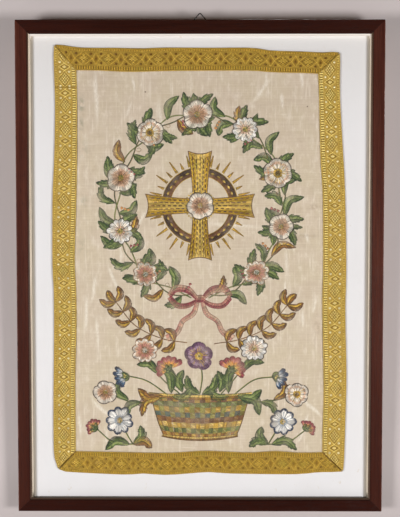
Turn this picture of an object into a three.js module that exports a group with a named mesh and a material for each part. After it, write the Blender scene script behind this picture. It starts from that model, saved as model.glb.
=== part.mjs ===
// A church banner in a picture frame. An embroidered silk panel, edged with woven gold
// braid, lies on a pale mount board inside a mitred mahogany moulding, which hangs by a
// triangular wire ring on its back.
// Millimetres: +X is the viewer's right, +Y runs from the front to the back, +Z is up.
// The origin is the point under the ring's top corner that carries the weight.
import * as THREE from "three";

// Moulding, seen from the front
const FRAME_WIDTH = 660;
const FRAME_HEIGHT = 886;
const RAIL_FACE = 25;
const RAIL_DEPTH = 24;
const ARRIS_RADIUS = 2;
const BEAD_WIDTH = 4;
const BEAD_STEP = 0.9;
const BEAD_SLOPE = 1.5;
const LIP_THICKNESS = 5;
const RABBET_WIDTH = 8;
const JOINT_GAP = 0.3;

// Fillet strips behind the lip, with how far each one shows past it
const SPACER_DEPTH = 8;
const SPACER_SHOWS = { top: 3, side: 2.2, bottom: -0.6 };

// Boards in the rabbet
const MOUNT_BOARD_THICKNESS = 2.5;
const BACK_BOARD_THICKNESS = 3;

// Cloth
const SILK_THICKNESS = 1;
const BRAID_THICKNESS = 1.4;
const LAYER_GAP = 0.3;
const SILK_EDGE_SHARE = 0.1; // of the braid's width, from its outer edge
const SILK_COLUMNS = 24;
const SILK_ROWS = 34;
const BRAID_STATION = 20;
const MITRE_REACH = 24;
const BRAID_JOIN_Z = 324;

// Hanger
const WIRE_RADIUS = 1;
const RING_HALF_WIDTH = 16;
const RING_HEIGHT = 19.4; // both to the middle of the wire, at its unrounded corners
const RING_CORNER_RADIUS = 2.5;
const RING_BAR_BELOW_TOP = 3.5;
const RING_STEPS = 48;
const WIRE_SIDES = 10;
const PLATE_WIDTH = 18;
const PLATE_HEIGHT = 11.5;
const PLATE_THICKNESS = 1;
const KNUCKLE_CLEARANCE = 0.3;
const SCREW_HEAD_RADIUS = 2.4;
const SCREW_HEAD_HEIGHT = 1.3;
const DOME_STEPS = 4;
const SCREW_SPACING = 10;

// Planes of the picture, as depths behind the face of the moulding
const BOARD_FRONT = LIP_THICKNESS + SPACER_DEPTH;
const BOARD_BACK = BOARD_FRONT + MOUNT_BOARD_THICKNESS;
const SILK_BACK = BOARD_FRONT - LAYER_GAP;
const SILK_FRONT = SILK_BACK - SILK_THICKNESS;
const BRAID_BACK = SILK_FRONT - LAYER_GAP;
const BRAID_FRONT = BRAID_BACK - BRAID_THICKNESS;

const material = (color, roughness, metalness = 0) =>
  new THREE.MeshStandardMaterial({ color, roughness, metalness });
const FINISH = {
  mahogany: material(0x4e2e25, 0.38),
  fillet: material(0xe6dac8, 0.8),
  board: material(0xebe7e7, 0.9),
  backing: material(0x8a6e52, 0.85),
  silk: material(0xcdbda4, 0.55),
  braid: material(0xb8963e, 0.5),
  iron: material(0x2b2624, 0.5, 0.8),
};

function piece(name, geometry, finish) {
  const mesh = new THREE.Mesh(geometry, finish);
  mesh.name = name;
  return mesh;
}

// A box given by its six faces, so that boxes which share a face share its number.
function block(xs, ys, zs) {
  const box = new THREE.BoxGeometry(1, 1, 1);
  const corner = box.attributes.position;
  const side = (values, t) => values[t < 0 ? 0 : 1];
  for (let i = 0; i < corner.count; i++) {
    const x = side(xs, corner.getX(i));
    const y = side(ys, corner.getY(i));
    const z = side(zs, corner.getZ(i));
    corner.setXYZ(i, x, y, z);
  }
  return box;
}

// Section of the moulding: x is the distance in from the outer edge, y the depth.
function railSection() {
  const beadStart = RAIL_FACE - BEAD_WIDTH;
  const rabbet = RAIL_FACE - RABBET_WIDTH;
  const section = new THREE.Shape();
  section.moveTo(0, RAIL_DEPTH);
  section.lineTo(0, ARRIS_RADIUS);
  section.absarc(ARRIS_RADIUS, ARRIS_RADIUS, ARRIS_RADIUS, Math.PI, 1.5 * Math.PI);
  section.lineTo(beadStart, 0);
  section.lineTo(beadStart, BEAD_STEP);
  section.lineTo(RAIL_FACE, BEAD_STEP + BEAD_SLOPE);
  section.lineTo(RAIL_FACE, LIP_THICKNESS);
  section.lineTo(rabbet, LIP_THICKNESS);
  section.lineTo(rabbet, RAIL_DEPTH);
  return section;
}

// A length of moulding along X, its outer edge on Z = 0, both ends cut to the mitre.
function mitredRail(length) {
  const rail = new THREE.ExtrudeGeometry(railSection(), {
    depth: length,
    bevelEnabled: false,
    curveSegments: 4,
  });
  const point = rail.attributes.position;
  for (let i = 0; i < point.count; i++) {
    const inward = point.getX(i);
    const reach = length / 2 - inward - JOINT_GAP;
    const along = point.getZ(i) > 0 ? reach : -reach;
    point.setXYZ(i, along, point.getY(i), -inward);
  }
  return rail;
}

function frameRails() {
  const halfWidth = FRAME_WIDTH / 2;
  const halfHeight = FRAME_HEIGHT / 2;
  const sides = [
    { name: "top", length: FRAME_WIDTH, x: 0, z: halfHeight, turns: 0 },
    { name: "right", length: FRAME_HEIGHT, x: halfWidth, z: 0, turns: 1 },
    { name: "bottom", length: FRAME_WIDTH, x: 0, z: -halfHeight, turns: 2 },
    { name: "left", length: FRAME_HEIGHT, x: -halfWidth, z: 0, turns: 3 },
  ];
  return sides.map((side) => {
    const rail = piece(`rail_${side.name}`, mitredRail(side.length), FINISH.mahogany);
    rail.rotation.y = (side.turns * Math.PI) / 2;
    rail.position.set(side.x, 0, side.z);
    return rail;
  });
}

// What lies in the rabbet reaches this far from the middle of the frame.
const INSERT_HALF_WIDTH = FRAME_WIDTH / 2 - RAIL_FACE + RABBET_WIDTH - JOINT_GAP;
const INSERT_HALF_HEIGHT = FRAME_HEIGHT / 2 - RAIL_FACE + RABBET_WIDTH - JOINT_GAP;

// Fillet strips: the top and bottom ones run right across, the side ones stand between.
function spacers() {
  const sideX = FRAME_WIDTH / 2 - RAIL_FACE - SPACER_SHOWS.side;
  const topZ = FRAME_HEIGHT / 2 - RAIL_FACE - SPACER_SHOWS.top;
  const bottomZ = RAIL_FACE + SPACER_SHOWS.bottom - FRAME_HEIGHT / 2;
  const depth = [LIP_THICKNESS, BOARD_FRONT];
  const across = [-INSERT_HALF_WIDTH, INSERT_HALF_WIDTH];
  const strips = {
    spacer_top: block(across, depth, [topZ, INSERT_HALF_HEIGHT]),
    spacer_right: block([sideX, INSERT_HALF_WIDTH], depth, [bottomZ, topZ]),
    spacer_bottom: block(across, depth, [-INSERT_HALF_HEIGHT, bottomZ]),
    spacer_left: block([-INSERT_HALF_WIDTH, -sideX], depth, [bottomZ, topZ]),
  };
  return Object.entries(strips).map(([name, strip]) => piece(name, strip, FINISH.fillet));
}

// The mount board, with the back board flat against it.
function boards() {
  const board = (front, back) =>
    block(
      [-INSERT_HALF_WIDTH, INSERT_HALF_WIDTH],
      [front, back],
      [-INSERT_HALF_HEIGHT, INSERT_HALF_HEIGHT],
    );
  const rear = BOARD_BACK + BACK_BOARD_THICKNESS;
  return [
    piece("mount_board", board(BOARD_FRONT, BOARD_BACK), FINISH.board),
    piece("back_board", board(BOARD_BACK, rear), FINISH.backing),
  ];
}

// Outline of the braid, from the middle of the frame. It wanders as hand-sewn braid does.
const at = (x, z) => new THREE.Vector2(x, z);
const CORNERS = {
  topLeft: { outer: at(-260.5, 400), inner: at(-221.5, 354.5) },
  topRight: { outer: at(250, 385.5), inner: at(211.5, 348) },
  bottomRight: { outer: at(260.5, -371.5), inner: at(223, -336) },
  bottomLeft: { outer: at(-258.5, -367.5), inner: at(-226.5, -335) },
};
const SIDES = {
  top: {
    along: "x",
    from: CORNERS.topLeft,
    to: CORNERS.topRight,
    outer: [
      at(-245, 399), at(-212, 394.5), at(-150, 394), at(-103, 393), at(-60, 394.5),
      at(10, 394), at(90, 394), at(112, 391), at(134, 388.5), at(176, 387.5),
      at(219, 385.5), at(238, 386.5),
    ],
    inner: [
      at(-180, 354), at(-125, 351.5), at(-60, 353), at(0, 353.5), at(90, 353.5),
      at(133, 350.5), at(180, 349.5),
    ],
  },
  right: {
    along: "y",
    from: CORNERS.topRight,
    to: CORNERS.bottomRight,
    outer: [
      at(250.5, 372), at(250.5, 320), at(252, 285), at(256, 222), at(261, 136), at(264, 6),
      at(263, -80), at(265.5, -190), at(265, -245), at(262.5, -345),
    ],
    inner: [
      at(213.5, 308), at(216.5, 200), at(221, 130), at(222.5, 6), at(221.5, -70),
      at(224.5, -220), at(223, -300),
    ],
  },
  bottom: {
    along: "x",
    from: CORNERS.bottomLeft,
    to: CORNERS.bottomRight,
    outer: [
      at(-249, -371.5), at(-230, -373.5), at(-138, -377.5), at(-105, -375.5),
      at(-58, -378), at(15, -373), at(55, -375.5), at(170, -376.5), at(215, -373),
      at(246, -372.5),
    ],
    inner: [
      at(-190, -335.5), at(-60, -337.5), at(8, -334), at(90, -337), at(136, -334),
      at(180, -337),
    ],
  },
  left: {
    along: "y",
    from: CORNERS.topLeft,
    to: CORNERS.bottomLeft,
    outer: [
      at(-262, 380), at(-260, 287), at(-262.5, 190), at(-265.5, 130), at(-266.5, 6),
      at(-264.5, -40), at(-264.5, -125), at(-266.5, -250), at(-266.5, -325),
      at(-265, -348), at(-262, -360),
    ],
    inner: [
      at(-220.5, 290), at(-221.5, 180), at(-224, 90), at(-226.5, 12), at(-224, -45),
      at(-224, -110), at(-226.5, -195),
    ],
  },
};

// Where the cloth stands off the board, as soft round swells.
const SWELLS = [
  { x: -226, z: 378, reachX: 30, reachZ: 32, height: 1 },
  { x: -104, z: 372, reachX: 32, reachZ: 30, height: 0.9 },
  { x: 118, z: 366, reachX: 36, reachZ: 32, height: 0.8 },
  { x: 228, z: 360, reachX: 32, reachZ: 36, height: 1.1 },
  { x: -243, z: 20, reachX: 32, reachZ: 60, height: 0.8 },
  { x: 243, z: -190, reachX: 32, reachZ: 70, height: 0.8 },
  { x: -120, z: -356, reachX: 50, reachZ: 30, height: 0.9 },
  { x: 170, z: -354, reachX: 44, reachZ: 30, height: 0.9 },
  { x: -110, z: 170, reachX: 48, reachZ: 90, height: 1.3 },
  { x: 110, z: 215, reachX: 46, reachZ: 70, height: 1.1 },
  { x: 120, z: -50, reachX: 44, reachZ: 90, height: 1.3 },
  { x: -95, z: -120, reachX: 50, reachZ: 80, height: 1.2 },
  { x: 10, z: -265, reachX: 70, reachZ: 42, height: 1.2 },
];

function lift(x, z) {
  return SWELLS.reduce((sum, swell) => {
    const dx = (x - swell.x) / swell.reachX;
    const dz = (z - swell.z) / swell.reachZ;
    return sum + swell.height * Math.exp(-(dx * dx + dz * dz) / 2);
  }, 0);
}

// A side's two edges as smooth curves. edgeAt gives a point a given share of the way from
// the outer to the inner edge at t, from 0 to 1 along the side. crossAt gives the points
// of a line square across the braid, at a distance along its inner edge; towards the two
// corners the lines turn to lie along the mitres.
function sideCurves(side) {
  const curve = (edge) =>
    new THREE.SplineCurve([side.from[edge], ...side[edge], side.to[edge]]);
  const outer = curve("outer");
  const inner = curve("inner");
  const length = inner.getLength();
  const overhang = (corner) =>
    Math.abs(corner.outer[side.along] - corner.inner[side.along]);
  const startOverhang = overhang(side.from);
  const endOverhang = outer.getLength() - length - startOverhang;
  const turned = (distance) => Math.max(0, 1 - distance / MITRE_REACH);
  const edgeAt = (t, share) => outer.getPointAt(t).lerp(inner.getPointAt(t), share);
  const crossAt = (distance) => {
    const outerDistance =
      distance +
      startOverhang * (1 - turned(distance)) +
      endOverhang * turned(length - distance);
    const outside = outer.getPointAt(outerDistance / outer.getLength());
    const inside = inner.getPointAt(distance / length);
    return [outside, outside.clone().lerp(inside, 0.5), inside];
  };
  return { length, edgeAt, crossAt };
}

const CURVES = Object.fromEntries(
  Object.entries(SIDES).map(([name, side]) => [name, sideCurves(side)]),
);

// A thin closed sheet from a grid of points in the picture plane: rows run down, columns
// to the right. Its two faces follow the swells at the depths given.
function clothSheet(grid, front, back) {
  const rows = grid.length;
  const columns = grid[0].length;
  const positions = [];
  for (const depth of [front, back]) {
    for (const row of grid) {
      for (const p of row) positions.push(p.x, depth - lift(p.x, p.y), p.y);
    }
  }
  const behind = rows * columns;
  const index = [];
  const quad = (a, b, c, d) => index.push(a, b, c, a, c, d);
  for (let r = 0; r + 1 < rows; r++) {
    for (let c = 0; c + 1 < columns; c++) {
      const a = r * columns + c;
      const below = a + columns;
      quad(a, below, below + 1, a + 1);
      quad(behind + a, behind + a + 1, behind + below + 1, behind + below);
    }
  }
  const rim = [];
  for (let c = 0; c < columns - 1; c++) rim.push(c);
  for (let r = 0; r < rows - 1; r++) rim.push(r * columns + columns - 1);
  for (let c = columns - 1; c > 0; c--) rim.push((rows - 1) * columns + c);
  for (let r = rows - 1; r > 0; r--) rim.push(r * columns);
  rim.forEach((a, i) => {
    const b = rim[(i + 1) % rim.length];
    quad(a, b, behind + b, behind + a);
  });
  const sheet = new THREE.BufferGeometry();
  sheet.setAttribute("position", new THREE.Float32BufferAttribute(positions, 3));
  sheet.setIndex(index);
  return sheet;
}

// The silk fills the outline, blended from its four edges, and ends under the braid.
function silkPanel() {
  const edge = (name, t) => CURVES[name].edgeAt(t, SILK_EDGE_SHARE);
  const corner = {
    topLeft: edge("top", 0),
    topRight: edge("top", 1),
    bottomLeft: edge("bottom", 0),
    bottomRight: edge("bottom", 1),
  };
  const grid = [];
  for (let r = 0; r <= SILK_ROWS; r++) {
    const down = r / SILK_ROWS;
    const row = [];
    for (let c = 0; c <= SILK_COLUMNS; c++) {
      const across = c / SILK_COLUMNS;
      const point = edge("top", across)
        .multiplyScalar(1 - down)
        .addScaledVector(edge("bottom", across), down)
        .addScaledVector(edge("left", down), 1 - across)
        .addScaledVector(edge("right", down), across)
        .addScaledVector(corner.topLeft, -(1 - across) * (1 - down))
        .addScaledVector(corner.topRight, -across * (1 - down))
        .addScaledVector(corner.bottomLeft, -(1 - across) * down)
        .addScaledVector(corner.bottomRight, -across * down);
      row.push(point);
    }
    grid.push(row);
  }
  return piece("silk_panel", clothSheet(grid, SILK_FRONT, SILK_BACK), FINISH.silk);
}

// One run of braid along a side, between two distances along its inner edge. Its stations
// are closer together where the lines across it turn into a mitre.
function braidRun(name, sideName, start, end) {
  const { length, crossAt } = CURVES[sideName];
  const stations = [start];
  let distance = start;
  while (distance < end) {
    const fromCorner = Math.min(distance, length - distance - BRAID_STATION);
    distance += fromCorner < MITRE_REACH ? MITRE_REACH / 4 : BRAID_STATION;
    if (end - distance > MITRE_REACH / 8) stations.push(distance);
  }
  stations.push(end);
  const lines = stations.map(crossAt);
  const startsOutside = sideName === "top" || sideName === "left";
  if (!startsOutside) lines.forEach((line) => line.reverse());
  const runsDown = sideName === "left" || sideName === "right";
  const grid = runsDown
    ? lines
    : lines[0].map((_, row) => lines.map((line) => line[row]));
  return piece(name, clothSheet(grid, BRAID_FRONT, BRAID_BACK), FINISH.braid);
}

// Each run keeps the joint gap clear of the next.
function braidBorder() {
  const join = CORNERS.topLeft.inner.y - BRAID_JOIN_Z;
  const toEnd = (sideName) => CURVES[sideName].length - JOINT_GAP;
  return [
    braidRun("braid_top", "top", JOINT_GAP, toEnd("top")),
    braidRun("braid_right", "right", JOINT_GAP, toEnd("right")),
    braidRun("braid_bottom", "bottom", JOINT_GAP, toEnd("bottom")),
    braidRun("braid_left_upper", "left", JOINT_GAP, join),
    braidRun("braid_left_lower", "left", join + JOINT_GAP, toEnd("left")),
  ];
}

// The hanger stands on the back of the top rail. Its pieces are drawn round the middle
// of the ring's lower bar: x is across, y the depth, z up.
const KNUCKLE_INNER = WIRE_RADIUS + KNUCKLE_CLEARANCE;
const KNUCKLE_OUTER = KNUCKLE_INNER + PLATE_THICKNESS;

// A closed loop of wire, a triangle with rounded corners.
function hangerRing() {
  const corners = [at(0, RING_HEIGHT), at(-RING_HALF_WIDTH, 0), at(RING_HALF_WIDTH, 0)];
  const outline = new THREE.Path();
  corners.forEach((corner, i) => {
    const before = corners[(i + 2) % 3].clone().sub(corner).normalize();
    const after = corners[(i + 1) % 3].clone().sub(corner).normalize();
    const halfAngle = Math.acos(before.dot(after)) / 2;
    const setback = RING_CORNER_RADIUS / Math.tan(halfAngle);
    const enter = corner.clone().addScaledVector(before, setback);
    const leave = corner.clone().addScaledVector(after, setback);
    if (i === 0) outline.moveTo(enter.x, enter.y);
    else outline.lineTo(enter.x, enter.y);
    const bisector = before.add(after).normalize();
    const middle = corner
      .clone()
      .addScaledVector(bisector, RING_CORNER_RADIUS / Math.sin(halfAngle));
    outline.absarc(
      middle.x,
      middle.y,
      RING_CORNER_RADIUS,
      Math.atan2(enter.y - middle.y, enter.x - middle.x),
      Math.atan2(leave.y - middle.y, leave.x - middle.x),
    );
  });
  outline.closePath();
  const stations = outline
    .getSpacedPoints(RING_STEPS)
    .slice(0, -1)
    .map((p) => new THREE.Vector3(p.x, 0, p.y));
  const wire = new THREE.CatmullRomCurve3(stations, true);
  const ring = new THREE.TubeGeometry(wire, RING_STEPS, WIRE_RADIUS, WIRE_SIDES, true);
  return piece("hanger_ring", ring, FINISH.iron);
}

// A plate that lies on the wood and curls round the ring's bar.
function hangerPlate() {
  const section = new THREE.Shape();
  section.moveTo(-KNUCKLE_OUTER, -PLATE_HEIGHT);
  section.lineTo(-KNUCKLE_OUTER, 0);
  section.absarc(0, 0, KNUCKLE_OUTER, Math.PI, -Math.PI / 2, true);
  section.lineTo(0, -KNUCKLE_INNER);
  section.absarc(0, 0, KNUCKLE_INNER, -Math.PI / 2, Math.PI, false);
  section.lineTo(-KNUCKLE_INNER, -PLATE_HEIGHT);
  const plate = new THREE.ExtrudeGeometry(section, {
    depth: PLATE_WIDTH,
    bevelEnabled: false,
    curveSegments: 12,
  });
  const point = plate.attributes.position;
  for (let i = 0; i < point.count; i++) {
    const x = point.getZ(i) - PLATE_WIDTH / 2;
    point.setXYZ(i, x, point.getX(i), point.getY(i));
  }
  return piece("hanger_plate", plate, FINISH.iron);
}

// A domed screw head on the back of the plate.
function hangerScrew(name, x) {
  const dome = [at(0, 0)];
  for (let i = 0; i < DOME_STEPS; i++) {
    const angle = (i * Math.PI) / 2 / DOME_STEPS;
    const radius = SCREW_HEAD_RADIUS * Math.cos(angle);
    dome.push(at(radius, SCREW_HEAD_HEIGHT * Math.sin(angle)));
  }
  dome.push(at(0, SCREW_HEAD_HEIGHT));
  const screw = piece(name, new THREE.LatheGeometry(dome, 16), FINISH.iron);
  screw.position.set(x, -KNUCKLE_INNER, -(KNUCKLE_OUTER + PLATE_HEIGHT) / 2);
  return screw;
}

const picture = new THREE.Group();
picture.add(...frameRails(), ...spacers(), ...boards());
picture.add(silkPanel(), ...braidBorder());

const hanger = new THREE.Group();
hanger.add(hangerRing(), hangerPlate());
hanger.add(hangerScrew("hanger_screw_left", -SCREW_SPACING / 2));
hanger.add(hangerScrew("hanger_screw_right", SCREW_SPACING / 2));

// The wire's rounded top corner lies lower than the corner of the triangle by this much.
const ringHalfAngle = Math.atan(RING_HALF_WIDTH / RING_HEIGHT);
const cornerDrop = RING_CORNER_RADIUS * (1 / Math.sin(ringHalfAngle) - 1);
const bearing = RING_HEIGHT - cornerDrop - WIRE_RADIUS;
hanger.position.set(0, 0, -bearing);
picture.position.set(
  0,
  -KNUCKLE_OUTER - RAIL_DEPTH,
  -bearing + RING_BAR_BELOW_TOP - FRAME_HEIGHT / 2,
);

const banner = new THREE.Group();
banner.add(picture, hanger);
export default banner;
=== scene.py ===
import math

import bmesh
import bpy
import numpy as np
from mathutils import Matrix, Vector
from mathutils.bvhtree import BVHTree


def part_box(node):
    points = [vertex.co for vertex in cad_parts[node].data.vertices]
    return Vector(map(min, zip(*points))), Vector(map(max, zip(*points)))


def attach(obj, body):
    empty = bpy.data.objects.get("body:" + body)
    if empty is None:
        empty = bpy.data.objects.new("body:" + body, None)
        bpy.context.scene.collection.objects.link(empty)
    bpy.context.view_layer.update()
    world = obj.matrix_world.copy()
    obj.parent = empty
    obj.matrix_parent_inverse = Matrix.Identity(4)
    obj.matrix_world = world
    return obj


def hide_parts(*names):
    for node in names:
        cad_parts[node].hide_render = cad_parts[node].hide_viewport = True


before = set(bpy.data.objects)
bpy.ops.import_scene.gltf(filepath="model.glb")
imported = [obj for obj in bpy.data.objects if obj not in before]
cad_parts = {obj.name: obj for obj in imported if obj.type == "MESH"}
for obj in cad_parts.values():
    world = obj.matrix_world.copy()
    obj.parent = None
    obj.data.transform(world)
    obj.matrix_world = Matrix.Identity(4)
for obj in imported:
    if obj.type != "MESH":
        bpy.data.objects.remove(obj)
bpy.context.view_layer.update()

# The camera stands in front of the lower third of the picture and looks up a little.
# Its place was worked out from the four outer corners of the moulding.
CAMERA_PLACE = (0.01057, -2.0871, -0.33022)
CAMERA_TILT = math.radians(86.9796)
CAMERA_TURN = math.radians(0.2904)
CAMERA_LENS = 80.0

camera_data = bpy.data.cameras.new("camera")
camera_data.lens = CAMERA_LENS
camera_data.sensor_fit = "AUTO"
camera_data.sensor_width = 36.0
camera = bpy.data.objects.new("camera", camera_data)
camera.location = CAMERA_PLACE
camera.rotation_euler = (CAMERA_TILT, 0.0, CAMERA_TURN)
bpy.context.collection.objects.link(camera)
bpy.context.scene.camera = camera
bpy.context.scene.view_settings.view_transform = "Standard"

# Moulding: four mitred lengths of mahogany, stained dark and wax polished. The uprights
# catch the side light along their grain and look redder: their lighter colour is painted
# light, and the level rails' darker colour painted shade. The inner bead is rubbed pale and
# also painted as a highlight, and at the foot it is painted dark as shade.
FRAME_HALF_WIDTH = 330.0
FRAME_HALF_HEIGHT = 443.0
FRAME_CENTRE_Z = -456.47
RAILS = {"upright": ("rail_left", "rail_right"), "level": ("rail_top", "rail_bottom")}
# Lit and shaded copies of one stain: painted light on the uprights, painted shade on the level rails.
RAIL_COLOURS = {
    "upright": {"dark": (0.046, 0.0105, 0.0066), "light": (0.102, 0.030, 0.0185)},
    "level": {"dark": (0.016, 0.0036, 0.0022), "light": (0.036, 0.00945, 0.00558)},
}
# Bead: rubbed paler, a colour that also holds a painted highlight. The upright edge is a bright painted
# highlight; on the level rails bead and edge show only at the foot, painted dark as shade.
BEAD_COLOURS = {"upright": (0.100, 0.062, 0.041), "level": (0.070, 0.0434, 0.0287)}
BEAD_EDGE_COLOURS = {"upright": (0.92, 0.78, 0.62), "level": (0.055, 0.036, 0.023)}
# Painted shade for the bottom rail.
FOOT_RAIL_SHADE = (0.018, 0.0020, 0.0008)
RAIL_GRAIN_TURN = {"upright": math.radians(90), "level": 0.0}
# Painted shade and light on the rails, for how the side light falls along them: where a change starts and
# ends, in metres, and its share at both.
FOOT_PAINTED_SHADE = (-0.36, -0.84, 0.0, 0.60)
HEAD_PAINTED_SHADE = (-0.26, -0.05, 0.0, 0.30)
LEVEL_ENDS_PAINTED_LIGHT = (0.08, 0.31, 0.0, 0.35)
TO_THE_RIGHT = (-0.1, 0.1)
# Where the painted highlight on the bead edge starts further in: on the right upright and towards the
# foot.
BEAD_HIGHLIGHT_NARROWS = {"right": (*TO_THE_RIGHT, 0.0, 0.75), "foot": (-0.42, -0.62, 0.0, 0.75)}
FRONT_DEPTHS = (-0.0226, -0.0246)
LIP_DEPTHS = (-0.0214, -0.0218)


def tree_of(*values):
    """The node tree of the first of these that is a socket."""
    return next(value.id_data for value in values if isinstance(value, bpy.types.NodeSocket))


def plug(target, value):
    """Links a socket to an input, or sets the input to a plain value."""
    if isinstance(value, bpy.types.NodeSocket):
        target.id_data.links.new(value, target)
    else:
        target.default_value = (*value, 1.0) if target.type == "RGBA" else value


def add(tree, kind, inputs=None, **settings):
    """A shader node with its settings, and its inputs by name or number."""
    made = tree.nodes.new("ShaderNode" + kind)
    for key, value in settings.items():
        setattr(made, key, value)
    for key, value in (inputs or {}).items():
        plug(made.inputs[key], value)
    return made


def maths(operation, first, second=0.0):
    return add(tree_of(first, second), "Math", {0: first, 1: second},
               operation=operation).outputs[0]


def times(first, second):
    return maths("MULTIPLY", first, second)


def ramp(value, start, end, low=0.0, high=1.0):
    """Goes smoothly from low at start to high at end."""
    return add(tree_of(value), "MapRange", {
        "Value": value, "From Min": start, "From Max": end, "To Min": low, "To Max": high},
        interpolation_type="SMOOTHSTEP").outputs["Result"]


def mixed(share, first, second, blend="MIX"):
    """Two colours mixed. The share may be a number or a mask."""
    return add(tree_of(share, first), "Mix", {"Factor": share, 6: first, 7: second},
               data_type="RGBA", blend_type=blend).outputs[2]


def coated(colour, *coats):
    """A colour with others over it, each given by its share or mask and its colour."""
    for share, coat in coats:
        colour = mixed(share, colour, coat)
    return colour


def mapped(vector, scale=(1, 1, 1), turn=(0, 0, 0)):
    return add(tree_of(vector), "Mapping", {"Vector": vector, "Scale": scale,
                                            "Rotation": turn}).outputs[0]


def noise(vector, scale, detail=2.0, rough=0.5, distortion=0.0):
    """Noise at one scale, or at a scale for each axis."""
    if isinstance(scale, tuple):
        vector, scale = mapped(vector, scale), 1.0
    return add(tree_of(vector), "TexNoise", {
        "Vector": vector, "Scale": scale, "Detail": detail, "Roughness": rough,
        "Distortion": distortion}).outputs["Fac"]


def axes_of(vector):
    return add(tree_of(vector), "SeparateXYZ", {0: vector}).outputs


def new_group(name, inputs, outputs):
    """An effect for several materials. Its inputs are numbers, or None for a vector."""
    group = bpy.data.node_groups.new(name, "ShaderNodeTree")
    for label, value in inputs.items():
        kind = "Vector" if value is None else "Float"
        socket = group.interface.new_socket(label, in_out="INPUT",
                                            socket_type="NodeSocket" + kind)
        if value is not None:
            socket.default_value = value
    for label in outputs:
        group.interface.new_socket(label, in_out="OUTPUT", socket_type="NodeSocketFloat")
    return (group, group.nodes.new("NodeGroupInput").outputs,
            group.nodes.new("NodeGroupOutput").inputs)


def effect(group, **inputs):
    """Places a group in a material and gives its outputs."""
    made = add(tree_of(*inputs.values()), "Group", node_tree=group)
    for key, value in inputs.items():
        plug(made.inputs[key], value)
    return made.outputs


def new_material(name, **constants):
    """A material with one Principled shader, and that shader's inputs."""
    material = bpy.data.materials.new(name)
    material.use_nodes = True
    surface = material.node_tree.nodes["Principled BSDF"].inputs
    for key, value in constants.items():
        plug(surface[key.replace("_", " ")], value)
    return material, surface


def object_coordinates(surface):
    return add(surface[0].id_data, "TexCoord").outputs["Object"]


def bumped(surface, height, distance, strength):
    made = add(tree_of(height), "Bump", {"Height": height, "Distance": distance,
                                         "Strength": strength})
    plug(surface["Normal"], made.outputs[0])


def dress(material, *node_names):
    """Puts a material on CAD nodes that stay."""
    for node_name in node_names:
        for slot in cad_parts[node_name].material_slots:
            slot.material = material


def scaled(colour, share):
    return tuple(channel * share for channel in colour)


# Grain that runs along X: broad figure, fine streaks and open pores.
wood_grain, given, result = new_group("Wood grain", {"Vector": None, "Figure": 1.0},
                                      ("Tone", "Pores", "Height"))
figure = noise(given["Vector"], (3.0, 46.0, 46.0), 4.0, 0.55, 0.6)
streaks = noise(given["Vector"], (14.0, 620.0, 620.0), 3.0, 0.6)
pores = ramp(noise(given["Vector"], (70.0, 1500.0, 1500.0), 1.0), 0.57, 0.68)
plug(result["Tone"], times(maths("ADD", times(ramp(figure, 0.3, 0.7), given["Figure"]),
                                 ramp(streaks, 0.25, 0.75)), 0.5))
plug(result["Pores"], pores)
plug(result["Height"], maths("SUBTRACT", times(streaks, 0.3), pores))

# Wear and painted light across the rail, from the distance in from its outer edge in
# millimetres: a rubbed arris, dark wax and painted shade in the quirk, and the bead.
rail_wear_and_light, given, result = new_group(
    "Rail wear", {"Inward": 0.0, "Front": 1.0, "Lip": 1.0, "Uneven": 0.0},
    ("Arris", "Quirk", "Bead", "Bead edge"))
inward = given["Inward"]
bead_edge = maths("SUBTRACT", inward, given["Uneven"])
plug(result["Arris"], times(ramp(inward, 2.6, 0.6), given["Front"]))
plug(result["Quirk"], times(ramp(inward, 20.3, 20.8), ramp(inward, 21.6, 21.2)))
plug(result["Bead"], times(ramp(inward, 21.5, 22.3), given["Front"]))
plug(result["Bead edge"], times(ramp(bead_edge, 24.0, 24.3), given["Lip"]))


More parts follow.
